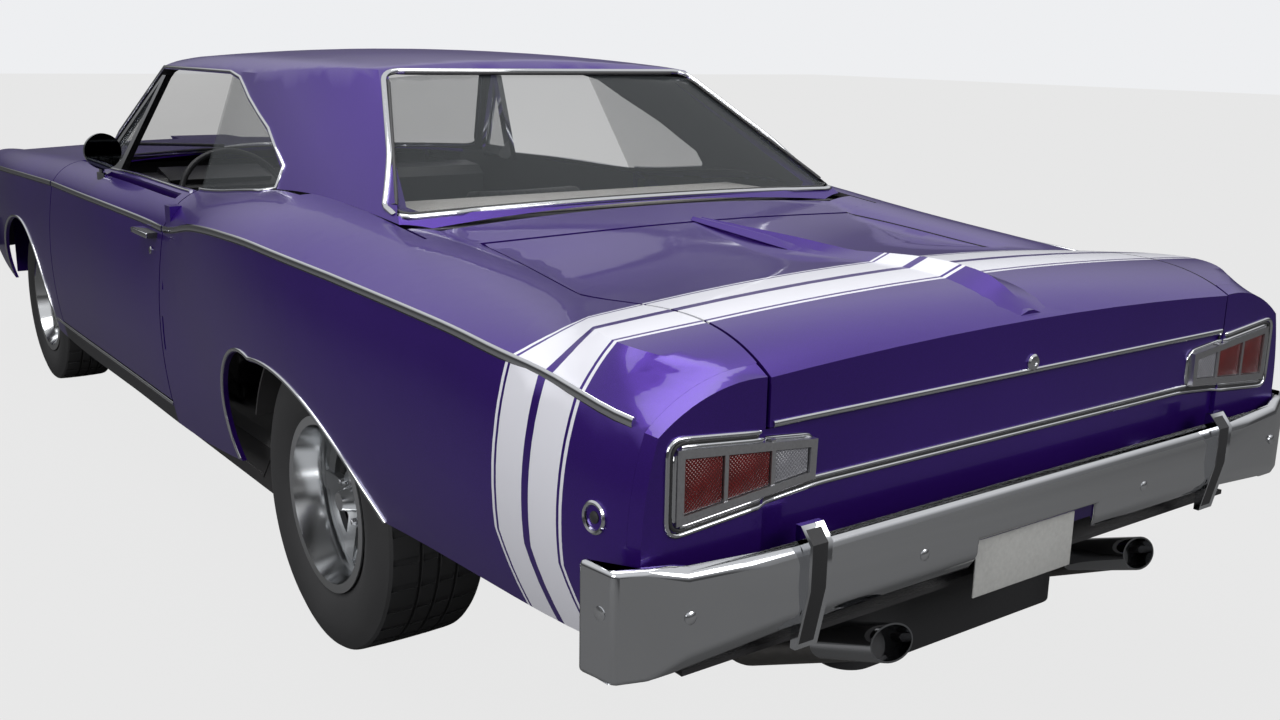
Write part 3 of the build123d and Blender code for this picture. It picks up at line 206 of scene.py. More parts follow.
def plug(tree, place, value):
    if isinstance(value, Wire):
        tree.links.new(value.socket, place)
    elif isinstance(value, tuple) and len(value) == 3 and len(place.default_value) == 4:
        place.default_value = value + (1.0,)
    else:
        place.default_value = value


def startMaterial(name, color, metallic=0.0, roughness=0.5, **sockets):
    material = bpy.data.materials.new(name)
    material.use_nodes = True
    tree = material.node_tree
    shader = tree.nodes["Principled BSDF"]
    plug(tree, shader.inputs["Base Color"], color)
    shader.inputs["Metallic"].default_value = metallic
    shader.inputs["Roughness"].default_value = roughness
    for socketName, value in sockets.items():
        plug(tree, shader.inputs[socketName.replace("_", " ")], value)
    place = tree.nodes.new("ShaderNodeTexCoord")
    return material, tree, shader, Wire(tree, place.outputs["Object"])


def noiseOf(place, scale, detail=3.0, roughness=0.5, output=0):
    return place.node("ShaderNodeTexNoise", output, Vector=place, Scale=scale, Detail=detail,
                      Roughness=roughness)


def mixColor(place, share, first, second):
    made = place.tree.nodes.new("ShaderNodeMix")
    made.data_type = "RGBA"
    plug(place.tree, made.inputs[0], share)
    plug(place.tree, made.inputs[6], first)
    plug(place.tree, made.inputs[7], second)
    return Wire(place.tree, made.outputs[2])


def bumpOf(place, shader, height, strength=0.3, distance=0.001):
    made = place.node("ShaderNodeBump", Height=height, Strength=strength, Distance=distance)
    plug(place.tree, shader.inputs["Normal"], made)


def axesOf(place):
    made = place.tree.nodes.new("ShaderNodeSeparateXYZ")
    plug(place.tree, made.inputs[0], place)
    return [Wire(place.tree, made.outputs[k]) for k in range(3)]


# Paint, with the cross stripe

paintLook = {
    "deep": (0.032, 0.006, 0.160),
    "lit": (0.078, 0.014, 0.370),
    "stripe": (0.74, 0.74, 0.80),
    "metallic": 0.62,
    "roughness": 0.30,
    "stripeFront": 2.166,      # distance behind the origin over the lid
    "slantStart": 0.640,
    "stripeSlant": -0.050,     # how far the stripe falls back for each metre further out
    "slantEnd": 0.915,
    "tuckHeight": 0.590,
    "tuckSlant": 0.42,
    "bands": ((0.000, 0.008), (0.015, 0.097), (0.118, 0.200), (0.207, 0.215)),
    "bandEdge": 0.0008,
    "stripeFoot": 0.30,        # the stripe ends at this height
    "flakeScale": 1900.0,
    "grainScale": 900.0,
}


def makePaint(look):
    material, tree, shader, place = startMaterial(
        "paintPlum", look["deep"], look["metallic"], look["roughness"],
        Coat_Weight=0.45, Coat_Roughness=0.03)
    x, y, z = axesOf(place)
    flakes = noiseOf(place, look["flakeScale"], 1.0)
    cloud = noiseOf(place, 2.2, 2.0)
    sparkle = flakes.above(0.60, 0.12)
    plum = mixColor(place, sparkle * 0.55 + cloud * 0.35, look["deep"], look["lit"])
    out = y.size().least(look["slantEnd"]).most(look["slantStart"]) - look["slantStart"]
    tuck = (look["tuckHeight"] - z).most(0.0) * look["tuckSlant"]
    along = (x * -1.0) - look["stripeFront"] - out * look["stripeSlant"] - tuck
    bands = [along.within(low, high, look["bandEdge"]) for low, high in look["bands"]]
    white = sum(bands[1:], bands[0]) * z.above(look["stripeFoot"], 0.001)
    plug(tree, shader.inputs["Base Color"], mixColor(place, white, plum, look["stripe"]))
    plug(tree, shader.inputs["Metallic"], (1.0 - white) * look["metallic"])
    plug(tree, shader.inputs["Roughness"], cloud * 0.05 + look["roughness"] - 0.02 + white * 0.08)
    bumpOf(place, shader, noiseOf(place, look["grainScale"], 1.0), 0.02, 0.0004)
    return material


# Metals

def makeChrome(name="chrome", tint=(0.66, 0.67, 0.69), roughness=0.07, worn=0.05):
    material, tree, shader, place = startMaterial(name, tint, 1.0, roughness)
    haze = noiseOf(place, 14.0, 4.0)
    plug(tree, shader.inputs["Roughness"], haze * worn + roughness - worn * 0.4)
    bumpOf(place, shader, noiseOf(place, 5.0, 1.0), 0.03, 0.002)
    return material


def makeSatin(name, tint, roughness, grain=220.0, metallic=1.0):
    material, tree, shader, place = startMaterial(name, tint, metallic, roughness)
    speck = noiseOf(place, grain, 3.0)
    dark = tuple(part * 0.72 for part in tint)
    plug(tree, shader.inputs["Base Color"], mixColor(place, speck, dark, tint))
    plug(tree, shader.inputs["Roughness"], speck * 0.16 + roughness - 0.08)
    bumpOf(place, shader, speck, 0.12, 0.0006)
    return material


# Rubber, plastics and cloth

def makeRubber(name, tint, roughness=0.62, grain=420.0):
    material, tree, shader, place = startMaterial(name, tint, 0.0, roughness)
    dust = noiseOf(place, 7.0, 5.0, 0.65)
    pale = tuple(min(1.0, part * 2.1 + 0.006) for part in tint)
    plug(tree, shader.inputs["Base Color"], mixColor(place, dust * 0.55, tint, pale))
    fine = noiseOf(place, grain, 2.0)
    plug(tree, shader.inputs["Roughness"], dust * 0.14 + roughness - 0.06)
    bumpOf(place, shader, fine, 0.16, 0.0006)
    return material


def makeVinyl(name, channels=None):
    # grained vinyl; on the seats sewn channels run up the faces, drawn by the place across the car
    material, tree, shader, place = startMaterial(name, (0.017, 0.017, 0.019), 0.0, 0.42)
    grain = place.node("ShaderNodeTexVoronoi", 0, {"feature": "DISTANCE_TO_EDGE"},
                       Vector=place, Scale=420.0)
    wear = noiseOf(place, 9.0, 4.0)
    plug(tree, shader.inputs["Base Color"],
         mixColor(place, wear * 0.5, (0.013, 0.013, 0.015), (0.036, 0.035, 0.037)))
    plug(tree, shader.inputs["Roughness"], wear * 0.16 + 0.34)
    if channels is None:
        bumpOf(place, shader, grain, 0.35, 0.0008)
    else:
        groove = (axesOf(place)[1] * channels).maths("SINE").size().least(0.35)
        bumpOf(place, shader, groove * 3.0 + grain * 0.25, 0.6, 0.003)
    return material


def makeCarpet():
    material, tree, shader, place = startMaterial("carpetBlack", (0.016, 0.016, 0.017), 0.0, 0.95,
                                                  Sheen_Weight=0.25, Sheen_Roughness=0.4)
    tufts = noiseOf(place, 320.0, 2.0, 0.7)
    plug(tree, shader.inputs["Base Color"],
         mixColor(place, tufts, (0.008, 0.008, 0.009), (0.034, 0.033, 0.034)))
    bumpOf(place, shader, tufts, 0.8, 0.003)
    return material


def makeGlass(name, tint, thin, edge):
    material, tree, shader, place = startMaterial(name, tint, 0.0, 0.02, Specular_IOR_Level=0.62)
    facing = place.node("ShaderNodeLayerWeight", 1, Blend=0.42)
    smear = noiseOf(place, 3.0, 3.0)
    plug(tree, shader.inputs["Alpha"], facing * edge + thin + smear * 0.03)
    plug(tree, shader.inputs["Roughness"], smear * 0.03 + 0.01)
    return material


def makeLens(name, deep, bright, ribs):
    material, tree, shader, place = startMaterial(name, deep, 0.0, 0.16, Coat_Weight=0.5,
                                                  Coat_Roughness=0.04)
    x, y, z = axesOf(place)
    wave = (z * ribs).maths("SINE") * (y * ribs).maths("SINE")
    share = wave * 0.25 + noiseOf(place, 40.0, 2.0) * 0.5
    plug(tree, shader.inputs["Base Color"], mixColor(place, share, deep, bright))
    bumpOf(place, shader, wave, 0.5, 0.0012)
    return material


plumPaint = makePaint(paintLook)
chrome = makeChrome()
softChrome = makeChrome("chromeSoft", (0.72, 0.73, 0.75), 0.16, 0.10)
satinBezel = makeSatin("bezelSatin", (0.60, 0.60, 0.62), 0.34)
castGrey = makeSatin("spokeGrey", (0.27, 0.28, 0.29), 0.44, 160.0, 0.85)
darkGrille = makeSatin("grilleDark", (0.030, 0.031, 0.034), 0.48, 200.0, 0.6)
blackIron = makeSatin("chassisBlack", (0.022, 0.022, 0.024), 0.60, 90.0, 0.2)
undercoat = makeRubber("undercoat", (0.020, 0.019, 0.020), 0.80, 150.0)
engineIron = makeSatin("enginePaint", (0.30, 0.075, 0.020), 0.42, 90.0, 0.1)
bareSteel = makeSatin("steelBare", (0.30, 0.29, 0.28), 0.42, 60.0)
blackRubber = makeRubber("rubberSeal", (0.014, 0.014, 0.015), 0.55)
tyreRubber = makeRubber("tyreRubber", (0.020, 0.020, 0.021), 0.66)
blackTrim = makeRubber("trimBlack", (0.015, 0.015, 0.017), 0.45, 700.0)
blackVinyl = makeVinyl("vinylBlack")
seatVinyl = makeVinyl("vinylSeat", 57.0)
palePiping = makeRubber("pipingPale", (0.42, 0.42, 0.43), 0.5)
paleCover = makeRubber("coverPale", (0.45, 0.44, 0.42), 0.7, 300.0)
blackCarpet = makeCarpet()
windowGlass = makeGlass("glassWindow", (0.055, 0.062, 0.066), 0.06, 0.42)
mirrorGlass = makeChrome("mirrorGlass", (0.10, 0.11, 0.12), 0.02, 0.01)
polished = makeChrome("rimPolished", (0.66, 0.67, 0.68), 0.13, 0.12)
paleSatin = makeSatin("plateBlank", (0.60, 0.60, 0.58), 0.42, 120.0, 0.0)
redLens = makeLens("lensRed", (0.060, 0.001, 0.001), (0.24, 0.002, 0.002), 900.0)
clearLens = makeLens("lensClear", (0.16, 0.16, 0.18), (0.40, 0.40, 0.43), 900.0)
lampGlass = makeLens("lampGlass", (0.46, 0.48, 0.50), (0.80, 0.82, 0.85), 240.0)
print("materials ready")


# Camera at the photograph's place, and a plain pale studio

cameraLook = {
    "place": (-4.025, 2.007, 1.420),
    "forward": (0.7807, -0.5785, -0.2363),
    "roll": 1.08,
    "lens": 36.54,
    "shiftY": -0.0013,
    "sensor": 36.0,
    "farthest": 200,
}
forward = Vector(cameraLook["forward"]).normalized()
level = forward.cross(Vector((0, 0, 1))).normalized()
upward = level.cross(forward).normalized()
roll = math.radians(cameraLook["roll"])
right = level * math.cos(roll) + upward * math.sin(roll)
upward = upward * math.cos(roll) - level * math.sin(roll)
bpy.ops.object.camera_add()
camera = named("camera")
camera.matrix_world = Matrix((
    (right.x, upward.x, -forward.x, cameraLook["place"][0]),
    (right.y, upward.y, -forward.y, cameraLook["place"][1]),
    (right.z, upward.z, -forward.z, cameraLook["place"][2]),
    (0, 0, 0, 1)))
camera.data.sensor_width = cameraLook["sensor"]
camera.data.lens = cameraLook["lens"]
camera.data.shift_y = cameraLook["shiftY"]
camera.data.clip_end = cameraLook["farthest"]
scene.camera = camera
scene.view_settings.view_transform = "Standard"

studioLook = {
    "floorDark": (0.13, 0.13, 0.13),
    "floorLight": (0.145, 0.145, 0.145),
    "floorSize": 90.0,
    "floorSeen": (0.88, 0.88, 0.88),
    "worldTint": (0.97, 0.98, 1.0),
    "worldLight": 0.34,
    "worldSeen": 0.88,
    "worldMirrored": 0.80,     # what shines back from overhead, and from the horizon
    "mirrorLow": 0.07,
    "mirrorEdge": 0.26,
    "mirrorFade": 0.34,
    "floorGlow": 0.90,
    "lamps": (
        # name, place, size, power, aims at
        ("lampOver", (-0.8, 0.6, 6.2), (6.5, 3.6), 300.0, (0.0, 0.0, 0.6)),
        ("lampLeft", (-3.4, 6.2, 3.2), (4.2, 2.4), 180.0, (-0.6, 0.4, 0.6)),
        ("lampBack", (-7.0, -1.6, 3.6), (3.2, 2.2), 120.0, (-1.6, 0.0, 0.6)),
    ),
}


def makeStudio(look):
    bpy.ops.mesh.primitive_plane_add(size=look["floorSize"])
    floor = named("studioFloor")
    material, tree, shader, place = startMaterial("floorPale", look["floorDark"], 0.0, 0.9)
    shader.inputs["Specular IOR Level"].default_value = 0.1
    mottle = noiseOf(place, 1.5, 3.0)
    plug(tree, shader.inputs["Base Color"],
         mixColor(place, mottle, look["floorDark"], look["floorLight"]))
    glow = tree.nodes.new("ShaderNodeEmission")
    plug(tree, glow.inputs["Color"], look["floorSeen"])
    mix = tree.nodes.new("ShaderNodeMixShader")
    direct = Wire(tree, tree.nodes.new("ShaderNodeLightPath").outputs["Is Camera Ray"])
    plug(tree, mix.inputs[0], direct * look["floorGlow"])
    tree.links.new(shader.outputs[0], mix.inputs[1])
    tree.links.new(glow.outputs[0], mix.inputs[2])
    tree.links.new(mix.outputs[0], tree.nodes["Material Output"].inputs["Surface"])
    floor.data.materials.append(material)
    for name, place, size, power, target in look["lamps"]:
        bpy.ops.object.light_add(type="AREA", location=place)
        lamp = named(name)
        lamp.data.shape = "RECTANGLE"
        lamp.data.size, lamp.data.size_y = size
        lamp.data.energy = power
        lamp.rotation_euler = (Vector(target) - Vector(place)).to_track_quat("-Z", "Y").to_euler()
    world = bpy.data.worlds.new("studioWorld")
    world.use_nodes = True
    scene.world = world
    tree = world.node_tree
    background = tree.nodes["Background"]
    path = tree.nodes.new("ShaderNodeLightPath")
    seen = Wire(tree, path.outputs["Is Camera Ray"]).most(Wire(tree, path.outputs["Is Transmission Ray"]))
    way = Wire(tree, tree.nodes.new("ShaderNodeTexCoord").outputs["Generated"])
    overhead = axesOf(way)[2].above(look["mirrorEdge"], look["mirrorFade"])
    mirrored = Wire(tree, path.outputs["Is Glossy Ray"]) * (
        overhead * (look["worldMirrored"] - look["mirrorLow"]) + look["mirrorLow"] - look["worldLight"])
    plug(tree, background.inputs["Color"], look["worldTint"])
    plug(tree, background.inputs["Strength"],
         seen * (look["worldSeen"] - look["worldLight"]) + mirrored + look["worldLight"])


makeStudio(studioLook)
print("camera and studio ready")


# CAD panels and parts get merged, smooth copies with their finishes

def inward(face, centre):
    return face.normal.dot((face.center - Vector(centre)).normalized()) < -0.35


def facesIn(face):
    # on a piece of one side, the faces turned to the middle of the car
    return face.normal.y * math.copysign(1, face.center.y) < -0.45


ventPane = ((0.818, 0.994), (0.660, 0.994), (0.549, 1.254))


def inVentPane(face):
    # within the triangle of the pane, seen from the side
    turns = []
    for (x0, z0), (x1, z1) in zip(ventPane, ventPane[1:] + ventPane[:1]):
        turns.append((x1 - x0) * (face.center.z - z0) - (z1 - z0) * (face.center.x - x0))
    return abs(face.normal.y) > 0.5 and (min(turns) > 0 or max(turns) < 0)


rimLook = {
    # hub x and z, and how far out the cap starts
    "front": (1.704, 0.335, 0.772),
    "rear": (-1.268, 0.350, 0.803),
    "barrel": 0.180,
    "lip": 0.160,
    "cap": 0.036,
}


def onRim(end):
    # the barrel, its lips and the cap of a wheel, by distance from its axle
    hubX, hubZ, capY = rimLook[end]

    def wanted(face):
        reach = math.hypot(face.center.x - hubX, face.center.z - hubZ)
        lip = reach > rimLook["lip"] and abs(face.normal.y) < 0.9
        return reach > rimLook["barrel"] or lip or (reach < rimLook["cap"] and abs(face.center.y) > capY)

    return wanted


dressing = {
    # nodes: (finish, slot), and where some faces take a second finish, that finish and those faces
    "fender_left fender_right": (plumPaint, "paint", undercoat, facesIn),
    "hood": (plumPaint, "paint"),
    "roof": (plumPaint, "paint", blackVinyl, lambda face: inward(face, (-0.15, 0, 1.0))),
    "windshield rear_window quarter_windows": (windowGlass, "glass"),
    "door_left door_right": (plumPaint, "paint", blackVinyl, facesIn),
    "vent_window_left vent_window_right": (chrome, "glass", windowGlass, inVentPane),
    "door_mirror": (chrome, "chrome", mirrorGlass, lambda face: face.normal.x < -0.9),
    "rocker_panels": (blackTrim, "paint", undercoat, lambda face: face.normal.z < -0.6),
    "quarter_left quarter_right": (plumPaint, "paint", undercoat, facesIn),
    "deck_filler": (plumPaint, "paint"),
    "trunk_lid": (plumPaint, "paint", undercoat, lambda face: face.normal.z < -0.3),
    "tail_panel": (plumPaint, "paint"),
    "tail_lamps": (satinBezel, "chrome"),
    "rear_bumper": (chrome, "chrome", blackIron, lambda face: face.normal.x > 0.5),
    "bumper_guards": (chrome, "chrome"),
    "floor_pan": (blackCarpet, "black_trim", undercoat, lambda face: face.normal.z < 0.1),
    "firewall": (blackTrim, "black_metal", plumPaint, lambda face: face.normal.x > 0.5),
    "cowl_top": (plumPaint, "paint"),
    "front_frame": (blackIron, "black_metal"),
    "inner_fenders": (blackTrim, "black_metal"),
    "wheel_tubs": (undercoat, "black_metal"),
    "package_shelf": (blackTrim, "black_trim"),
    "dashboard": (blackVinyl, "black_trim"),
    "steering_column": (blackTrim, "black_metal"),
    "steering_wheel": (blackTrim, "black_trim"),
    "engine": (engineIron, "engine_iron"),
    "driveline": (bareSteel, "bare_steel"),
    "rear_axle rear_springs": (blackIron, "black_metal"),
    "fuel_tank": (blackIron, "bare_steel"),
    # the exhaust's rear end faces take black iron: painted shade standing for the dark inside of the open
    # pipe
    "exhaust": (bareSteel, "bare_steel", blackIron,
                lambda face: face.normal.x < -0.85 and face.center.x < -2.4),
    "rim_front_left rim_front_right": (castGrey, "alloy", polished, onRim("front")),
    "rim_rear_left rim_rear_right": (castGrey, "alloy", polished, onRim("rear")),
    "knuckle_left knuckle_right": (bareSteel, "bare_steel"),
    "front_suspension": (blackIron, "black_metal"),
    "header_panel": (plumPaint, "paint"),
    "grille": (darkGrille, "grille_metal"),
    "headlamps": (chrome, "chrome", lampGlass, lambda face: face.normal.x > 0.9),
    "front_bumper": (chrome, "chrome", blackIron, lambda face: face.normal.x < -0.5),
    "front_valance": (plumPaint, "paint"),
}


def markFaces(piece, material, wanted):
    # the wanted faces take a further material
    piece.data.materials.append(material)
    last = len(piece.data.materials) - 1
    for face in piece.data.polygons:
        if wanted(face):
            face.material_index = last


def titled(name):
    # front_left becomes FrontLeft
    return "".join(word.capitalize() for word in name.split("_"))


def dress(nodeName, finish, slotName, second=None, takesSecond=None):
    title = titled(nodeName)
    piece = mergedCopy(nodeName, title[0].lower() + title[1:])
    smooth(piece)
    finished(piece, finish, nodes[nodeName]["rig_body"])
    if second is not None:
        markFaces(piece, second, takesSecond)
    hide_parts(nodeName)
    return piece


shown = {nodeName: dress(nodeName, *row) for names, row in dressing.items() for nodeName in names.split()}
print("dressed", len(shown), "nodes")


# Bumper bars get rounded edges

edgeLook = {"flat": 0.6, "width": 0.009, "segments": 3, "turn": 24, "smooth": 40}


def roundEdges(piece):
    editAll(piece)
    bpy.ops.mesh.dissolve_limited(angle_limit=math.radians(edgeLook["flat"]))
    leaveEdit()
    edge = piece.modifiers.new("edge", "BEVEL")
    edge.width = edgeLook["width"]
    edge.segments = edgeLook["segments"]
    edge.limit_method = "ANGLE"
    edge.angle_limit = math.radians(edgeLook["turn"])
    edge.use_clamp_overlap = True
    applyAll(piece)
    smooth(piece, edgeLook["smooth"])


for nodeName in ("rear_bumper", "front_bumper"):
    roundEdges(shown[nodeName])
print("bumper edges rounded")


# Tools for trim: rays onto the dressed panels, and a section swept along a path

sides = ((1, "left", "Left"), (-1, "right", "Right"))
clearX, clearY = 2.95, 1.3     # where rays start, outside the car


def touch(names, origin, direction):
    # the first point, with its normal, that a ray meets on any of these dressed nodes
    origin = Vector(origin)
    met = []
    for name in names:
        struck, point, normal, index = shown[name].ray_cast(origin, Vector(direction))
        if struck:
            met.append((point, normal))
    return min(met, key=lambda hit: (hit[0] - origin).length, default=None)


def fromSide(side, x, z, *names):
    return touch(names, (x, side * clearY, z), (0, -side, 0))


def fromAbove(x, y, z, *names):
    return touch(names, (x, y, z), (0, 0, -1))


def pointsOf(found, lift=(0, 0, 0)):
    # the points of those rays that met something, lifted off the surface
    return [hit[0] + Vector(lift) for hit in found if hit]


def evenly(first, last, count):
    # places from the first to the last in equal steps
    return [first + (last - first) * k / count for k in range(count + 1)]


def rowAt(table, x):
    # the values that follow x in a table's rows, taken between the rows round it
    for (x0, *start), (x1, *end) in zip(table, table[1:]):
        if x1 <= x <= x0:
            return [a + (b - a) * (x - x0) / (x1 - x0) for a, b in zip(start, end)]
    return table[0][1:] if x > table[0][0] else table[-1][1:]


def arcThrough(start, middle, end, steps):
    # points on the circle through three points of one plane
    (ax, ay), (bx, by), (cx, cy) = start, middle, end
    double = 2 * (ax * (by - cy) + bx * (cy - ay) + cx * (ay - by))
    aa, bb, cc = ax * ax + ay * ay, bx * bx + by * by, cx * cx + cy * cy
    ux = (aa * (by - cy) + bb * (cy - ay) + cc * (ay - by)) / double
    uy = (aa * (cx - bx) + bb * (ax - cx) + cc * (bx - ax)) / double
    radius = math.hypot(ax - ux, ay - uy)
    first = math.atan2(ay - uy, ax - ux)
    turn = (math.atan2(cy - uy, cx - ux) - first) % math.tau
    if (math.atan2(by - uy, bx - ux) - first) % math.tau > turn:
        turn -= math.tau
    return [(ux + radius * math.cos(angle), uy + radius * math.sin(angle))
            for angle in evenly(first, first + turn, steps)]


def rounded(corners, reach, steps=5, closed=False):
    # a path with its corners cut back by the reach and rounded; an open path keeps its ends
    corners = [Vector(corner) for corner in corners]
    count = len(corners)
    path = [] if closed else [corners[0]]
    for k in range(count) if closed else range(1, count - 1):
        corner = corners[k]
        before = corner + (corners[k - 1] - corner).normalized() * reach
        after = corner + (corners[(k + 1) % count] - corner).normalized() * reach
        for share in evenly(0, 1, steps):
            path.append(before.lerp(corner, share).lerp(corner.lerp(after, share), share))
    return path if closed else path + [corners[-1]]


def dense(path, step=0.022, closed=False):
    # extra points along the straight runs
    path = [Vector(point) for point in path]
    points = []
    for before, after in zip(path, path[1:] + (path[:1] if closed else [])):
        count = max(1, round((after - before).length / step))
        points += [before.lerp(after, k / count) for k in range(count)]
    return points if closed else points + [path[-1]]


def sweep(name, points, halfOut, halfUp, body="root", material=chrome, slotName="chrome",
          closed=False, sectionSteps=3, twist="Z_UP"):
    # an oval section carried along the points, as a finished mesh
    bpy.ops.curve.primitive_bezier_circle_add(radius=1)
    section = bpy.context.object
    section.data.resolution_u = sectionSteps
    section.scale = (halfOut, halfUp, 1)
    bpy.ops.object.transform_apply(scale=True)
    bpy.ops.curve.primitive_nurbs_path_add()
    line = named(name)
    line.data.splines.clear()
    spline = line.data.splines.new("POLY")
    spline.points.add(len(points) - 1)
    for place, point in zip(spline.points, points):
        place.co = (*point, 1)
    spline.use_cyclic_u = closed
    line.data.dimensions = "3D"
    line.data.twist_mode = twist
    line.data.bevel_mode = "OBJECT"
    line.data.bevel_object = section
    line.data.use_fill_caps = not closed
    alone(line)
    bpy.ops.object.convert(target="MESH")
    strip = bpy.context.object
    bpy.data.objects.remove(section)
    editAll(strip)
    bpy.ops.mesh.remove_doubles(threshold=0.00001)
    bpy.ops.mesh.normals_make_consistent(inside=False)
    leaveEdit()
    smooth(strip, 60)
    return finished(strip, material, body)


def roundWire(name, points, radius, material=chrome, slotName="chrome", closed=False):
    sweep(name, points, radius, radius, "root", material, slotName, closed, twist="MINIMUM")


def bar(name, low, high, bevel, material, slotName, body="root", segments=2):
    # a cube between two corners with its edges rounded in edit mode
    middle = [(a + b) / 2 for a, b in zip(low, high)]
    bpy.ops.mesh.primitive_cube_add(size=1, location=middle)
    piece = named(name)
    piece.scale = [b - a for a, b in zip(low, high)]
    settled(piece)
    editAll(piece)
    bpy.ops.mesh.bevel(offset=bevel, segments=segments, affect="EDGES")
    leaveEdit()
    smooth(piece, 40)
    finished(piece, material, body)


def turned(name, outline, place, axis, steps, body="root", material=chrome):
    # an outline of (along, out) spun round an axis through the place, finished if a body is given
    axis = Vector(axis).normalized()
    side = axis.orthogonal().normalized()
    bpy.ops.mesh.primitive_plane_add(size=0.01)
    piece = named(name)
    bpy.ops.object.mode_set(mode="EDIT")
    bpy.ops.mesh.select_mode(type="VERT")
    bpy.ops.mesh.select_all(action="SELECT")
    bpy.ops.mesh.merge(type="CENTER")
    start = Vector(place) + axis * outline[0][0] + side * outline[0][1]
    bpy.ops.transform.translate(value=start)
    for before, after in zip(outline, outline[1:]):
        step = axis * (after[0] - before[0]) + side * (after[1] - before[1])
        bpy.ops.mesh.extrude_vertices_move(TRANSFORM_OT_translate={"value": step})
    bpy.ops.mesh.select_all(action="SELECT")
    bpy.ops.mesh.spin(steps=steps, angle=math.tau, center=place, axis=axis, use_auto_merge=True)
    bpy.ops.mesh.select_all(action="SELECT")
    bpy.ops.mesh.remove_doubles(threshold=0.00005)
    bpy.ops.mesh.normals_make_consistent(inside=False)
    leaveEdit()
    smooth(piece, 35)
    return finished(piece, material, body) if body else piece


# Bright line along the crease of both sides

creaseLook = {
    "line": ((2.520, 0.838), (2.250, 0.843), (1.704, 0.860), (1.138, 0.874), (0.500, 0.874),
             (-0.200, 0.867), (-0.340, 0.884), (-0.460, 0.906), (-0.560, 0.921), (-0.760, 0.936),
             (-1.000, 0.942), (-1.424, 0.927), (-1.978, 0.906), (-2.300, 0.881), (-2.498, 0.853)),
    # panel, and where its strip starts and ends
    "runs": (("fender", 2.515, 1.142), ("door", 1.126, -0.190), ("quarter", -0.206, -2.496)),
    "half": (0.0045, 0.0105),
    "lift": 0.0015,
    "step": 0.040,
    "spread": 0.07,
}


def creaseHeight(x):
    # the mean over a short reach, so that the line has no corners
    near = [rowAt(creaseLook["line"], place)[0]
            for place in evenly(x - creaseLook["spread"], x + creaseLook["spread"], 6)]
    return sum(near) / len(near)


def creaseStrip(panel, frontX, rearX, side, word, tag):
    nodeName = panel + "_" + word
    count = max(2, round((frontX - rearX) / creaseLook["step"]))
    points = pointsOf([fromSide(side, x, creaseHeight(x), nodeName) for x in evenly(frontX, rearX, count)],
                      (0, side * creaseLook["lift"], 0))
    strip = sweep("crease" + panel.capitalize() + tag, points, *creaseLook["half"],
                  nodes[nodeName]["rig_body"])
    markFaces(strip, blackTrim, lambda face: -0.80 < face.normal.z < -0.30)


for side, word, tag in sides:
    for run in creaseLook["runs"]:
        creaseStrip(*run, side, word, tag)
print("crease lines ready")


# Bright lips round the wheel openings

archLook = {
    "Front": ("fender_", ((2.080, 0.260), (1.975, 0.575), (1.745, 0.678), (1.480, 0.630), (1.262, 0.260))),
    "Rear": ("quarter_", ((-0.806, 0.260), (-0.785, 0.585), (-1.010, 0.652), (-1.390, 0.602),
                          (-1.668, 0.380))),
    "middleZ": 0.33,
    "leastY": 0.82,
    "grow": 0.007,
    "radius": 0.0055,
}


def archLip(end, side, word, tag):
    panel, table = archLook[end]
    path = arcThrough(*table[0:3], 22)[:-1] + arcThrough(*table[2:5], 26)
    middleX = sum(x for x, z in path) / len(path)
    points = []
    for x, z in path:
        out = Vector((x - middleX, 0, z - archLook["middleZ"])).normalized() * archLook["grow"]
        points += pointsOf([fromSide(side, x + out.x, z + out.z, panel + word)])
    points = [point for point in points if abs(point.y) > archLook["leastY"]]
    roundWire("archLip" + end + tag, points, archLook["radius"])


for side, word, tag in sides:
    for end in ("Front", "Rear"):
        archLip(end, side, word, tag)
print("arch lips ready")


# Sill lines under the doors

sillLook = {"z": 0.346, "front": 1.240, "rear": -0.200, "half": (0.003, 0.006)}
for side, word, tag in sides:
    points = pointsOf([fromSide(side, x, sillLook["z"], "rocker_panels", "fender_" + word)
                       for x in evenly(sillLook["front"], sillLook["rear"], 30)])
    sweep("sillLine" + tag, points, *sillLook["half"])
print("sill lines ready")


# Bright line round the side window openings and along the door tops

windowLook = {
    "foot": (-0.206, -0.260, -0.330, -0.420, -0.510, -0.590, -0.650, -0.690),
    "footY": 0.786,
    "footTop": 1.08,
    "footLift": 0.002,
    "edge": ((-0.706, 1.030), (-0.697, 1.086), (-0.600, 1.132), (-0.527, 1.172), (-0.430, 1.208),
             (-0.335, 1.246), (-0.270, 1.276), (-0.215, 1.299), (-0.120, 1.313), (0.200, 1.312),
             (0.548, 1.311), (0.620, 1.243), (0.700, 1.168), (0.790, 1.082), (0.878, 1.000)),
    "radius": 0.0055,
    "belt": (0.880, -0.170),
    "beltY": 0.8025,
    "beltHalf": (0.006, 0.004),
    "above": 1.2,
}
for side, word, tag in sides:
    found = [fromAbove(x, side * windowLook["footY"], windowLook["above"], "quarter_" + word, "roof")
             for x in windowLook["foot"]]
    foot = [hit for hit in found if hit and hit[0].z < windowLook["footTop"]]
    edge = [fromSide(side, x, z, "roof") for x, z in windowLook["edge"]]
    roundWire("windowLine" + tag, pointsOf(foot, (0, 0, windowLook["footLift"])) + pointsOf(edge),
              windowLook["radius"])
    points = pointsOf([fromAbove(x, side * windowLook["beltY"], windowLook["above"], "door_" + word)
                       for x in evenly(*windowLook["belt"], 20)], (0, 0, 0.001))
    sweep("beltLine" + tag, points, *windowLook["beltHalf"], "door_" + word)
print("window lines ready")


# Tail trim: bright double line round both lamps and along the tail, with a dark line between

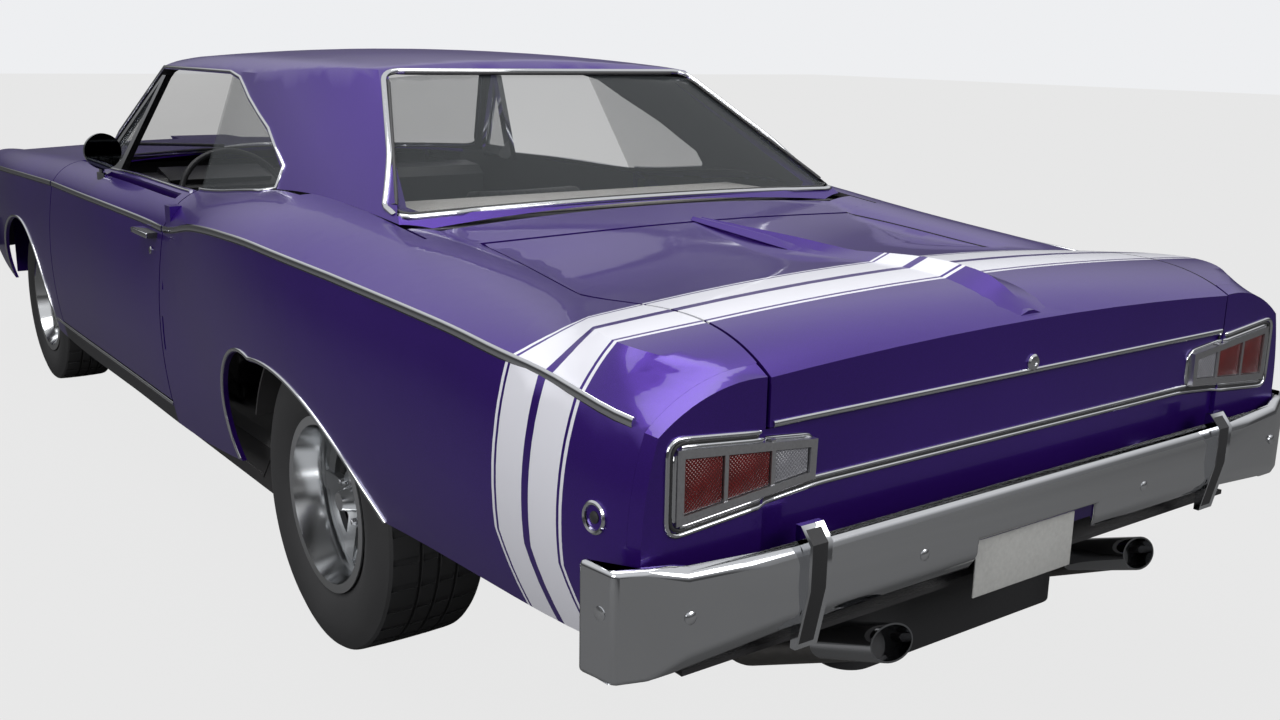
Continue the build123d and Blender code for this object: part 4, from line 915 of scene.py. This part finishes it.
lampLook = {
    # across the car, top and foot
    "inner": (0.554, 0.794, 0.725),
    "outer": (0.846, 0.823, 0.700),
    "grow": (0.004, 0.017),
    "wire": 0.0045,
    "gasket": 0.0038,
    "corner": 0.030,
    "loopCorner": 0.024,
    "lidSeam": 0.664,
    "margin": 0.0155,
    "floorX": -2.5522,
    "thick": 0.0035,
    "bevel": 0.0015,
}
tailNames = ("tail_panel", "tail_lamps", "quarter_left", "quarter_right")


def lampEdges(y):
    # heights of a lamp's top and foot at a place across the car
    (y0, *first), (y1, *last) = lampLook["inner"], lampLook["outer"]
    return [a + (b - a) * (y - y0) / (y1 - y0) for a, b in zip(first, last)]


def onTail(path, names=tailNames, lift=0.001):
    # points (0, y, z) dropped onto the tail from behind
    return pointsOf([touch(names, (-clearX, point.y, point.z), (1, 0, 0)) for point in path], (-lift, 0, 0))


def lampCorners(grow, side=1):
    inY, outY = lampLook["inner"][0] - grow, lampLook["outer"][0] + grow
    (inTop, inLow), (outTop, outLow) = lampEdges(inY), lampEdges(outY)
    return [(0, side * inY, inTop + grow), (0, side * outY, outTop + grow),
            (0, side * outY, outLow - grow), (0, side * inY, inLow - grow)]


def tailLine(name, grow, radius, material, lift=0.001):
    seam = lampLook["lidSeam"]
    half = [(0, seam, lampEdges(seam)[0] + grow)] + lampCorners(grow)[1:]
    corners = half + [(0, -y, z) for x, y, z in reversed(half)]
    points = onTail(dense(rounded(corners, lampLook["corner"])), lift=lift)
    roundWire(name, points, radius, material)


nearGrow, farGrow = lampLook["grow"]
tailLine("tailLineOuter", farGrow, lampLook["wire"], chrome)
tailLine("tailLineGasket", (nearGrow + farGrow) / 2, lampLook["gasket"], blackRubber, 0.0)
for side, word, tag in sides:
    loop = rounded(lampCorners(nearGrow, side), lampLook["loopCorner"], closed=True)
    roundWire("lampLoop" + tag, onTail(dense(loop, closed=True)), lampLook["wire"], closed=True)
innerY = lampLook["inner"][0] - nearGrow
lowZ = lampEdges(innerY)[1] - nearGrow
points = onTail(dense([(0, innerY, lowZ), (0, -innerY, lowZ)]))
sweep("tailLineInner", points, lampLook["wire"], lampLook["wire"])


# Lamp cells: two red outboard, one clear inboard

def lensCell(name, inY, outY, material, side):
    margin = lampLook["margin"]
    bpy.ops.mesh.primitive_plane_add(size=1)
    piece = named(name)
    (inTop, inLow), (outTop, outLow) = lampEdges(inY), lampEdges(outY)
    corners = ((inY, inLow + margin), (outY, outLow + margin), (inY, inTop - margin), (outY, outTop - margin))
    for vertex, (y, z) in zip(piece.data.vertices, corners):
        vertex.co = (lampLook["floorX"], side * y, z)
    editAll(piece)
    bpy.ops.mesh.extrude_region_move(TRANSFORM_OT_translate={"value": (-lampLook["thick"], 0, 0)})
    bpy.ops.mesh.select_all(action="SELECT")
    bpy.ops.mesh.normals_make_consistent(inside=False)
    bpy.ops.mesh.bevel(offset=lampLook["bevel"], segments=2, affect="EDGES")
    leaveEdit()
    smooth(piece, 40)
    finished(piece, material, "root")


lampCells = (
    # name, from and to across the car, material
    ("lensRedOuter", 0.7535, 0.8300, redLens),
    ("lensRedMiddle", 0.6555, 0.7425, redLens),
    ("lensClear", 0.5710, 0.6445, clearLens),
)
for side, word, tag in sides:
    for name, inY, outY, material in lampCells:
        lensCell(name + tag, inY, outY, material, side)
print("tail lamps ready")


# Lid edge line and a plain lock disc

lidLook = {
    "edgeZ": 0.8335,
    "edgeY": 0.652,
    "half": (0.0035, 0.0055),
    "lock": (0.0, 0.0, 0.849),
    "lockOutline": ((-0.003, 0.0), (-0.003, 0.0165), (0.003, 0.0165), (0.006, 0.013), (0.0065, 0.006),
                    (0.0045, 0.005), (0.0045, 0.0)),
}
path = dense([(0, lidLook["edgeY"], lidLook["edgeZ"]), (0, -lidLook["edgeY"], lidLook["edgeZ"])])
sweep("lidEdgeLine", onTail(path, ("trunk_lid",)), *lidLook["half"], "trunk_lid")
lockPlace = onTail([Vector(lidLook["lock"])], ("trunk_lid",), 0.0)[0]
turned("lidLock", lidLook["lockOutline"], lockPlace, (-1, 0, 0), 28, "trunk_lid")
print("lid trim ready")


# Raised spear down the middle of the lid

spearLook = {
    # along the car, half width, height
    "table": ((-1.560, 0.012, 0.003), (-1.900, 0.030, 0.010), (-2.300, 0.056, 0.019),
              (-2.450, 0.066, 0.021), (-2.546, 0.071, 0.0015)),
    "rows": 28,
    "across": 4,
    "skin": 0.003,
    "sink": 0.001,
    "beside": 0.012,
    "above": 1.4,
}
bpy.ops.mesh.primitive_grid_add(x_subdivisions=spearLook["rows"], y_subdivisions=spearLook["across"], size=1)
spear = named("lidSpear")
frontX, rearX = spearLook["table"][0][0], spearLook["table"][-1][0]
for vertex in spear.data.vertices:
    x = frontX + (rearX - frontX) * (0.5 - vertex.co.x)
    across = vertex.co.y * 2
    half, up = rowAt(spearLook["table"], x)
    lid, normal = fromAbove(x, across * (half + spearLook["beside"]), spearLook["above"], "trunk_lid")
    vertex.co = (x, across * half, lid.z - spearLook["sink"] + up * (1 - abs(across)))
wall = spear.modifiers.new("wall", "SOLIDIFY")
wall.thickness = spearLook["skin"]
applyAll(spear)
editAll(spear)
bpy.ops.mesh.normals_make_consistent(inside=False)
leaveEdit()
smooth(spear, 12)
finished(spear, plumPaint, "trunk_lid")
print("lid spear ready")


# Rubber faces let into the bumper guards, bolts, blank plate and its holder

def insetPatch(piece, wanted, thickness, depth, material):
    # the wanted faces get a border and a sunk field of a further material
    selectFaces(piece, wanted)
    bpy.ops.mesh.inset(thickness=thickness, depth=depth)
    leaveEdit()
    markFaces(piece, material, lambda face: face.select)


insetPatch(shown["bumper_guards"], lambda face: face.normal.x < -0.55, 0.008, -0.0022, blackRubber)

bolts = (
    # name, start and way of the ray that places it on the left side, head's radius, rim and crown
    ("bumperBolt{}0", (-clearX, 0.845, 0.566), (1, 0), 0.011, 0.0035, 0.0042),
    ("bumperBolt{}1", (-clearX, 0.330, 0.556), (1, 0), 0.011, 0.0035, 0.0042),
    ("bumperBoltSide{}", (-2.530, clearY, 0.578), (0, -1), 0.012, 0.0030, 0.0036),
)
for side, word, tag in sides:
    for name, (x, y, z), (wayX, wayY), radius, rim, crown in bolts:
        place, normal = touch(("rear_bumper",), (x, side * y, z), (wayX, side * wayY, 0))
        outline = ((-0.002, 0.0), (-0.002, radius), (0.001, radius), (rim, 0.007), (crown, 0.0))
        turned(name.format(tag), outline, place, normal, 20, "root", softChrome)

plateLook = {
    "low": (-2.580, -0.148, 0.416),
    "high": (-2.577, 0.148, 0.530),
    "bevel": 0.0012,
    "holderLow": (-2.5768, -0.100, 0.440),
    "holderHigh": (-2.5435, 0.100, 0.500),
    "holderBevel": 0.003,
}
bar("plateBlank", plateLook["low"], plateLook["high"], plateLook["bevel"], paleSatin, "paint")
bar("plateHolder", plateLook["holderLow"], plateLook["holderHigh"], plateLook["holderBevel"],
    blackTrim, "black_trim")
print("bumper pieces ready")


# Oval tips over the exhaust ends, cut upright

tipLook = {
    "start": (-2.440, 0.338),
    "end": (-2.590, 0.392),
    "y": 0.375,
    "half": (0.054, 0.034),
    "wall": 0.0035,
    "bore": (0.070, 0, -0.025),
    "rim": 0.03,
}
for side, word, tag in sides:
    (startX, startZ), (endX, endZ) = tipLook["start"], tipLook["end"]
    y = side * tipLook["y"]
    tip = sweep("exhaustTip" + tag, [(startX, y, startZ), (endX, y, endZ)], *tipLook["half"], sectionSteps=9)
    selectFaces(tip, lambda face: face.normal.x < -0.8)
    bpy.ops.mesh.inset(thickness=tipLook["wall"])
    bpy.ops.mesh.extrude_region_move(TRANSFORM_OT_translate={"value": tipLook["bore"]})
    leaveEdit()
    # the bottom of the bore takes black iron: painted shade standing for the dark inside of the open pipe
    markFaces(tip, blackIron, lambda face: face.normal.x < -0.8 and face.center.x > endX + tipLook["rim"])
print("exhaust tips ready")


# Round side markers

markerLook = {
    "x": -2.451,
    "z": 0.699,
    "ring": ((-0.004, 0.0275), (0.003, 0.0275), (0.0055, 0.0245), (0.0040, 0.0205), (-0.001, 0.0190),
             (-0.001, 0.0)),
    "button": ((-0.001, 0.0), (-0.001, 0.0105), (0.002, 0.0100), (0.0035, 0.006), (0.0038, 0.0)),
}
for side, word, tag in sides:
    place, normal = fromSide(side, markerLook["x"], markerLook["z"], "quarter_" + word)
    turned("markerRing" + tag, markerLook["ring"], place, normal, 36)
    turned("markerButton" + tag, markerLook["button"], place, normal, 24, "root", blackRubber)
print("markers ready")


# Bright mouldings round both fixed windows, laid on the roof round each opening

mouldingLook = {
    # name: lower half width and height, upper half width and height, slope of the glass, ray's way
    "RearWindow": ((0.690, 1.022), (0.486, 1.330), 0.508, 1),
    "Windshield": ((0.742, 0.985), (0.592, 1.312), 0.623, -1),
}
mouldingRings = (
    # name, distance out from the opening's edge, radius, material
    ("moulding", 0.011, 0.0080, chrome),
    ("gasket", 0.0005, 0.0045, blackRubber),
)
ringLift = 0.012       # the deck's crown lifts the lower run at its middle
screenNames = ("roof", "deck_filler", "cowl_top", "rear_window", "windshield", "trunk_lid")


def windowRing(name, low, high, slope, way, grow, radius, material):
    tall = (high[1] - low[1]) / slope
    corners = [(0, low[0] + grow, -grow), (0, high[0] + grow, tall + grow),
               (0, -high[0] - grow, tall + grow), (0, -low[0] - grow, -grow)]
    found = []
    for point in dense(rounded(corners, 0.050, 6, closed=True), 0.03, closed=True):
        rise = ringLift * max(0.0, 1 - (point.y / low[0]) ** 2) if point.z < 0.02 else 0.0
        height = low[1] + point.z * slope + rise
        found.append(touch(screenNames, (-way * clearX, point.y, height), (way, 0, 0)))
    roundWire(name, pointsOf(found), radius, material, closed=True)


for word, row in mouldingLook.items():
    for kind, grow, radius, material in mouldingRings:
        windowRing(kind + word, *row, grow, radius, material)
print("window mouldings ready")


# Tyres with circumferential grooves and cross cuts in the tread

wheelNames = ("front_left", "front_right", "rear_left", "rear_right")
tyreLook = {
    "rim": 0.2055,
    "steps": 132,
    "grooves": (-0.44, 0.0, 0.44),     # as shares of the tread's half width
    "grooveHalf": 0.0045,
    "grooveDeep": 0.0065,
    "cutDeep": 0.0035,
}


def tyreOutline(radius, width):
    # the CAD tyre's outline as (across, out), with the tread's grooves let in
    half, rim = width / 2, tyreLook["rim"]
    bead, tread, corner = half * 0.80, half * 0.76, half * 0.90
    bulge = (rim + radius) / 2
    wall = arcThrough((bead, rim + 0.001), (half, bulge), (corner, radius - 0.016), 9)
    shoulder = arcThrough((corner, radius - 0.016), (half * 0.86, radius - 0.006), (tread, radius - 0.002), 3)
    outer = wall[:-1] + shoulder
    points = [(-across, out) for across, out in outer]
    for share in tyreLook["grooves"]:
        middle = share * tread
        crown = radius - 0.002 * share * share
        near, far = middle - tyreLook["grooveHalf"], middle + tyreLook["grooveHalf"]
        points += [(near, crown), (near + 0.001, crown - tyreLook["grooveDeep"]),
                   (far - 0.001, crown - tyreLook["grooveDeep"]), (far, crown)]
    return points + outer[::-1] + [(bead, rim - 0.006), (-bead, rim - 0.006), points[0]]


def treadTyre(corner):
    low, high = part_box("tyre_" + corner)
    middle = [(a + b) / 2 for a, b in zip(low, high)]
    radius, width = (high[2] - low[2]) / 2, high[1] - low[1]
    tyre = turned("tyre" + titled(corner), tyreOutline(radius, width), middle, (0, 1, 0), tyreLook["steps"],
                  "wheel_" + corner, tyreRubber)

    def onCut(face):
        # every fourth step of the ribs
        x, z = face.center.x - middle[0], face.center.z - middle[2]
        reach = math.hypot(x, z)
        step = int((math.atan2(z, x) % math.tau) / math.tau * tyreLook["steps"])
        flat = (face.normal.x * x + face.normal.z * z) / reach > 0.9
        return flat and reach > radius - 0.0060 and step % 4 == 0

    selectFaces(tyre, onCut)
    bpy.ops.mesh.extrude_region_shrink_fatten(TRANSFORM_OT_shrink_fatten={"value": -tyreLook["cutDeep"]})
    leaveEdit()
    smooth(tyre, 30)
    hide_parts("tyre_" + corner)


for corner in wheelNames:
    treadTyre(corner)
print("tyres ready")


# Lug nuts round each wheel's cap

nutLook = {
    "count": 5,
    "circle": 0.054,
    "front": 0.026,        # how far out from the tyre's middle the nuts' foot lies
    "rear": 0.042,
    "outline": ((-0.002, 0.0), (-0.002, 0.0105), (0.016, 0.0095), (0.021, 0.006), (0.022, 0.0)),
}


def lugNuts(corner):
    end, sideWord = corner.split("_")
    outward = 1 if sideWord == "left" else -1
    low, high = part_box("rim_" + corner)
    tyreLow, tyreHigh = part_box("tyre_" + corner)
    middle = Vector(((low[0] + high[0]) / 2, (tyreLow[1] + tyreHigh[1]) / 2 + outward * nutLook[end],
                     (low[2] + high[2]) / 2))
    nuts = []
    for k in range(nutLook["count"]):
        angle = math.tau * (k + 0.5) / nutLook["count"]
        place = middle + Vector((math.cos(angle), 0, math.sin(angle))) * nutLook["circle"]
        nuts.append(turned("nut", nutLook["outline"], place, (0, outward, 0), 6, None))
    alone(nuts[0])
    for nut in nuts:
        nut.select_set(True)
    bpy.ops.object.join()
    nuts[0].name = "lugNuts" + titled(corner)
    finished(nuts[0], chrome, "wheel_" + corner)


for corner in wheelNames:
    lugNuts(corner)
print("wheel nuts ready")


# Seats as padded pieces in the space that the CAD seats hold

padLook = {
    "shrink": 0.009,
    "voxel": 0.011,
    "pressure": 4.0,
    "cap": 0.016,
    "frames": 20,
}


def swell(piece):
    # cloth under a little pressure, with each point's way capped
    start = [vertex.co.copy() for vertex in piece.data.vertices]
    cloth = piece.modifiers.new("swell", "CLOTH")
    cloth.settings.use_pressure = True
    cloth.settings.uniform_pressure_force = padLook["pressure"]
    cloth.settings.effector_weights.gravity = 0
    cloth.settings.quality = 5
    cloth.point_cache.frame_start = 1
    cloth.point_cache.frame_end = padLook["frames"]
    for number in range(1, padLook["frames"] + 1):
        scene.frame_set(number)
    alone(piece)
    bpy.ops.object.modifier_apply(modifier="swell")
    scene.frame_set(1)
    for vertex, before in zip(piece.data.vertices, start):
        way = vertex.co - before
        if way.length > padLook["cap"]:
            vertex.co = before + way.normalized() * padLook["cap"]


def softPad(piece, nodeName):
    editAll(piece)
    bpy.ops.transform.shrink_fatten(value=-padLook["shrink"])
    leaveEdit()
    remesh = piece.modifiers.new("remesh", "REMESH")
    remesh.mode = "VOXEL"
    remesh.voxel_size = padLook["voxel"]
    applyAll(piece)
    swell(piece)
    finer = piece.modifiers.new("finer", "SUBSURF")
    finer.levels = 1
    finer.render_levels = 1
    applyAll(piece)
    smooth(piece, 60)
    finished(piece, seatVinyl, "root")
    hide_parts(nodeName)


def keepSide(piece, side):
    # only the loose seat on one side of the middle stays
    selectFaces(piece, lambda face: face.center.y * side < 0)
    bpy.ops.mesh.delete(type="FACE")
    leaveEdit()


frontSeats = {}
for side, word, tag in sides:
    seat = mergedCopy("front_seats", "seatFront" + tag)
    keepSide(seat, side)
    softPad(seat, "front_seats")
    frontSeats[tag] = seat
softPad(mergedCopy("rear_seat", "seatRear"), "rear_seat")
print("seats ready")


# Pale piping round the front seat backs

pipingLook = {"y": 0.397, "half": 0.205, "low": (-0.040, 0.560), "high": (-0.135, 0.875), "radius": 0.0035,
              "behind": -0.9}
for side, word, tag in sides:
    (lowX, lowZ), (highX, highZ) = pipingLook["low"], pipingLook["high"]
    middle = side * pipingLook["y"]
    left, right = middle + pipingLook["half"], middle - pipingLook["half"]
    corners = [(lowX, left, lowZ), (highX, left, highZ), (highX, right, highZ), (lowX, right, lowZ)]
    points = []
    for point in dense(rounded(corners, 0.05), 0.03):
        struck, place, normal, index = frontSeats[tag].ray_cast(
            Vector((pipingLook["behind"], point.y, point.z)), Vector((1, 0, 0)))
        if struck:
            points.append(place)
    roundWire("seatPiping" + tag, points, pipingLook["radius"], palePiping, "vinyl")
print("piping ready")


# Door handles and locks

handleLook = {
    "gripX": (-0.15, 0.03),
    "gripZ": (0.830, 0.860),
    "gripY": 0.905,
    "bladeX": (-0.138, 0.018),
    "bladeY": (0.9255, 0.9310),
    "bladeZ": (0.8365, 0.8515),
    "bevel": 0.0018,
    "lock": (-0.095, 0.795),
    "lockOutline": ((-0.003, 0.0), (-0.003, 0.0115), (0.003, 0.0115), (0.0045, 0.009), (0.0035, 0.004),
                    (0.0035, 0.0)),
}


def onHandle(face):
    (x0, x1), (z0, z1) = handleLook["gripX"], handleLook["gripZ"]
    return abs(face.center.y) > handleLook["gripY"] and x0 < face.center.x < x1 and z0 < face.center.z < z1


for side, word, tag in sides:
    door = "door_" + word
    markFaces(shown[door], blackTrim, onHandle)
    spans = [handleLook["bladeX"], sorted(side * y for y in handleLook["bladeY"]), handleLook["bladeZ"]]
    bar("doorHandle" + tag, *zip(*spans), handleLook["bevel"], chrome, "chrome", door, 3)
    place, normal = fromSide(side, *handleLook["lock"], door)
    turned("doorLock" + tag, handleLook["lockOutline"], place, normal, 24, door)
print("door furniture ready")


# Pale cover along the parcel shelf

coverLook = {"low": (-1.230, -0.590, 0.9955), "high": (-0.950, 0.590, 1.0080), "bevel": 0.004}
bar("shelfCover", *coverLook.values(), paleCover, "vinyl")
print("shelf cover ready")


# Wipers parked at the foot of the windshield

wiperLook = {"pivots": (0.30, -0.34), "reach": 0.42, "low": 1.000, "rise": 0.030, "lift": (0.010, 0, 0.004),
             "half": (0.004, 0.006)}
for number, pivotY in enumerate(wiperLook["pivots"]):
    found = []
    for share in evenly(0, 1, 8):
        y, z = pivotY + wiperLook["reach"] * share, wiperLook["low"] + wiperLook["rise"] * share
        found.append(touch(("windshield", "cowl_top", "roof"), (clearX, y, z), (-1, 0, 0)))
    sweep("wiper" + str(number), pointsOf(found, wiperLook["lift"]), *wiperLook["half"],
          material=blackTrim, slotName="black_trim")
print("wipers ready")
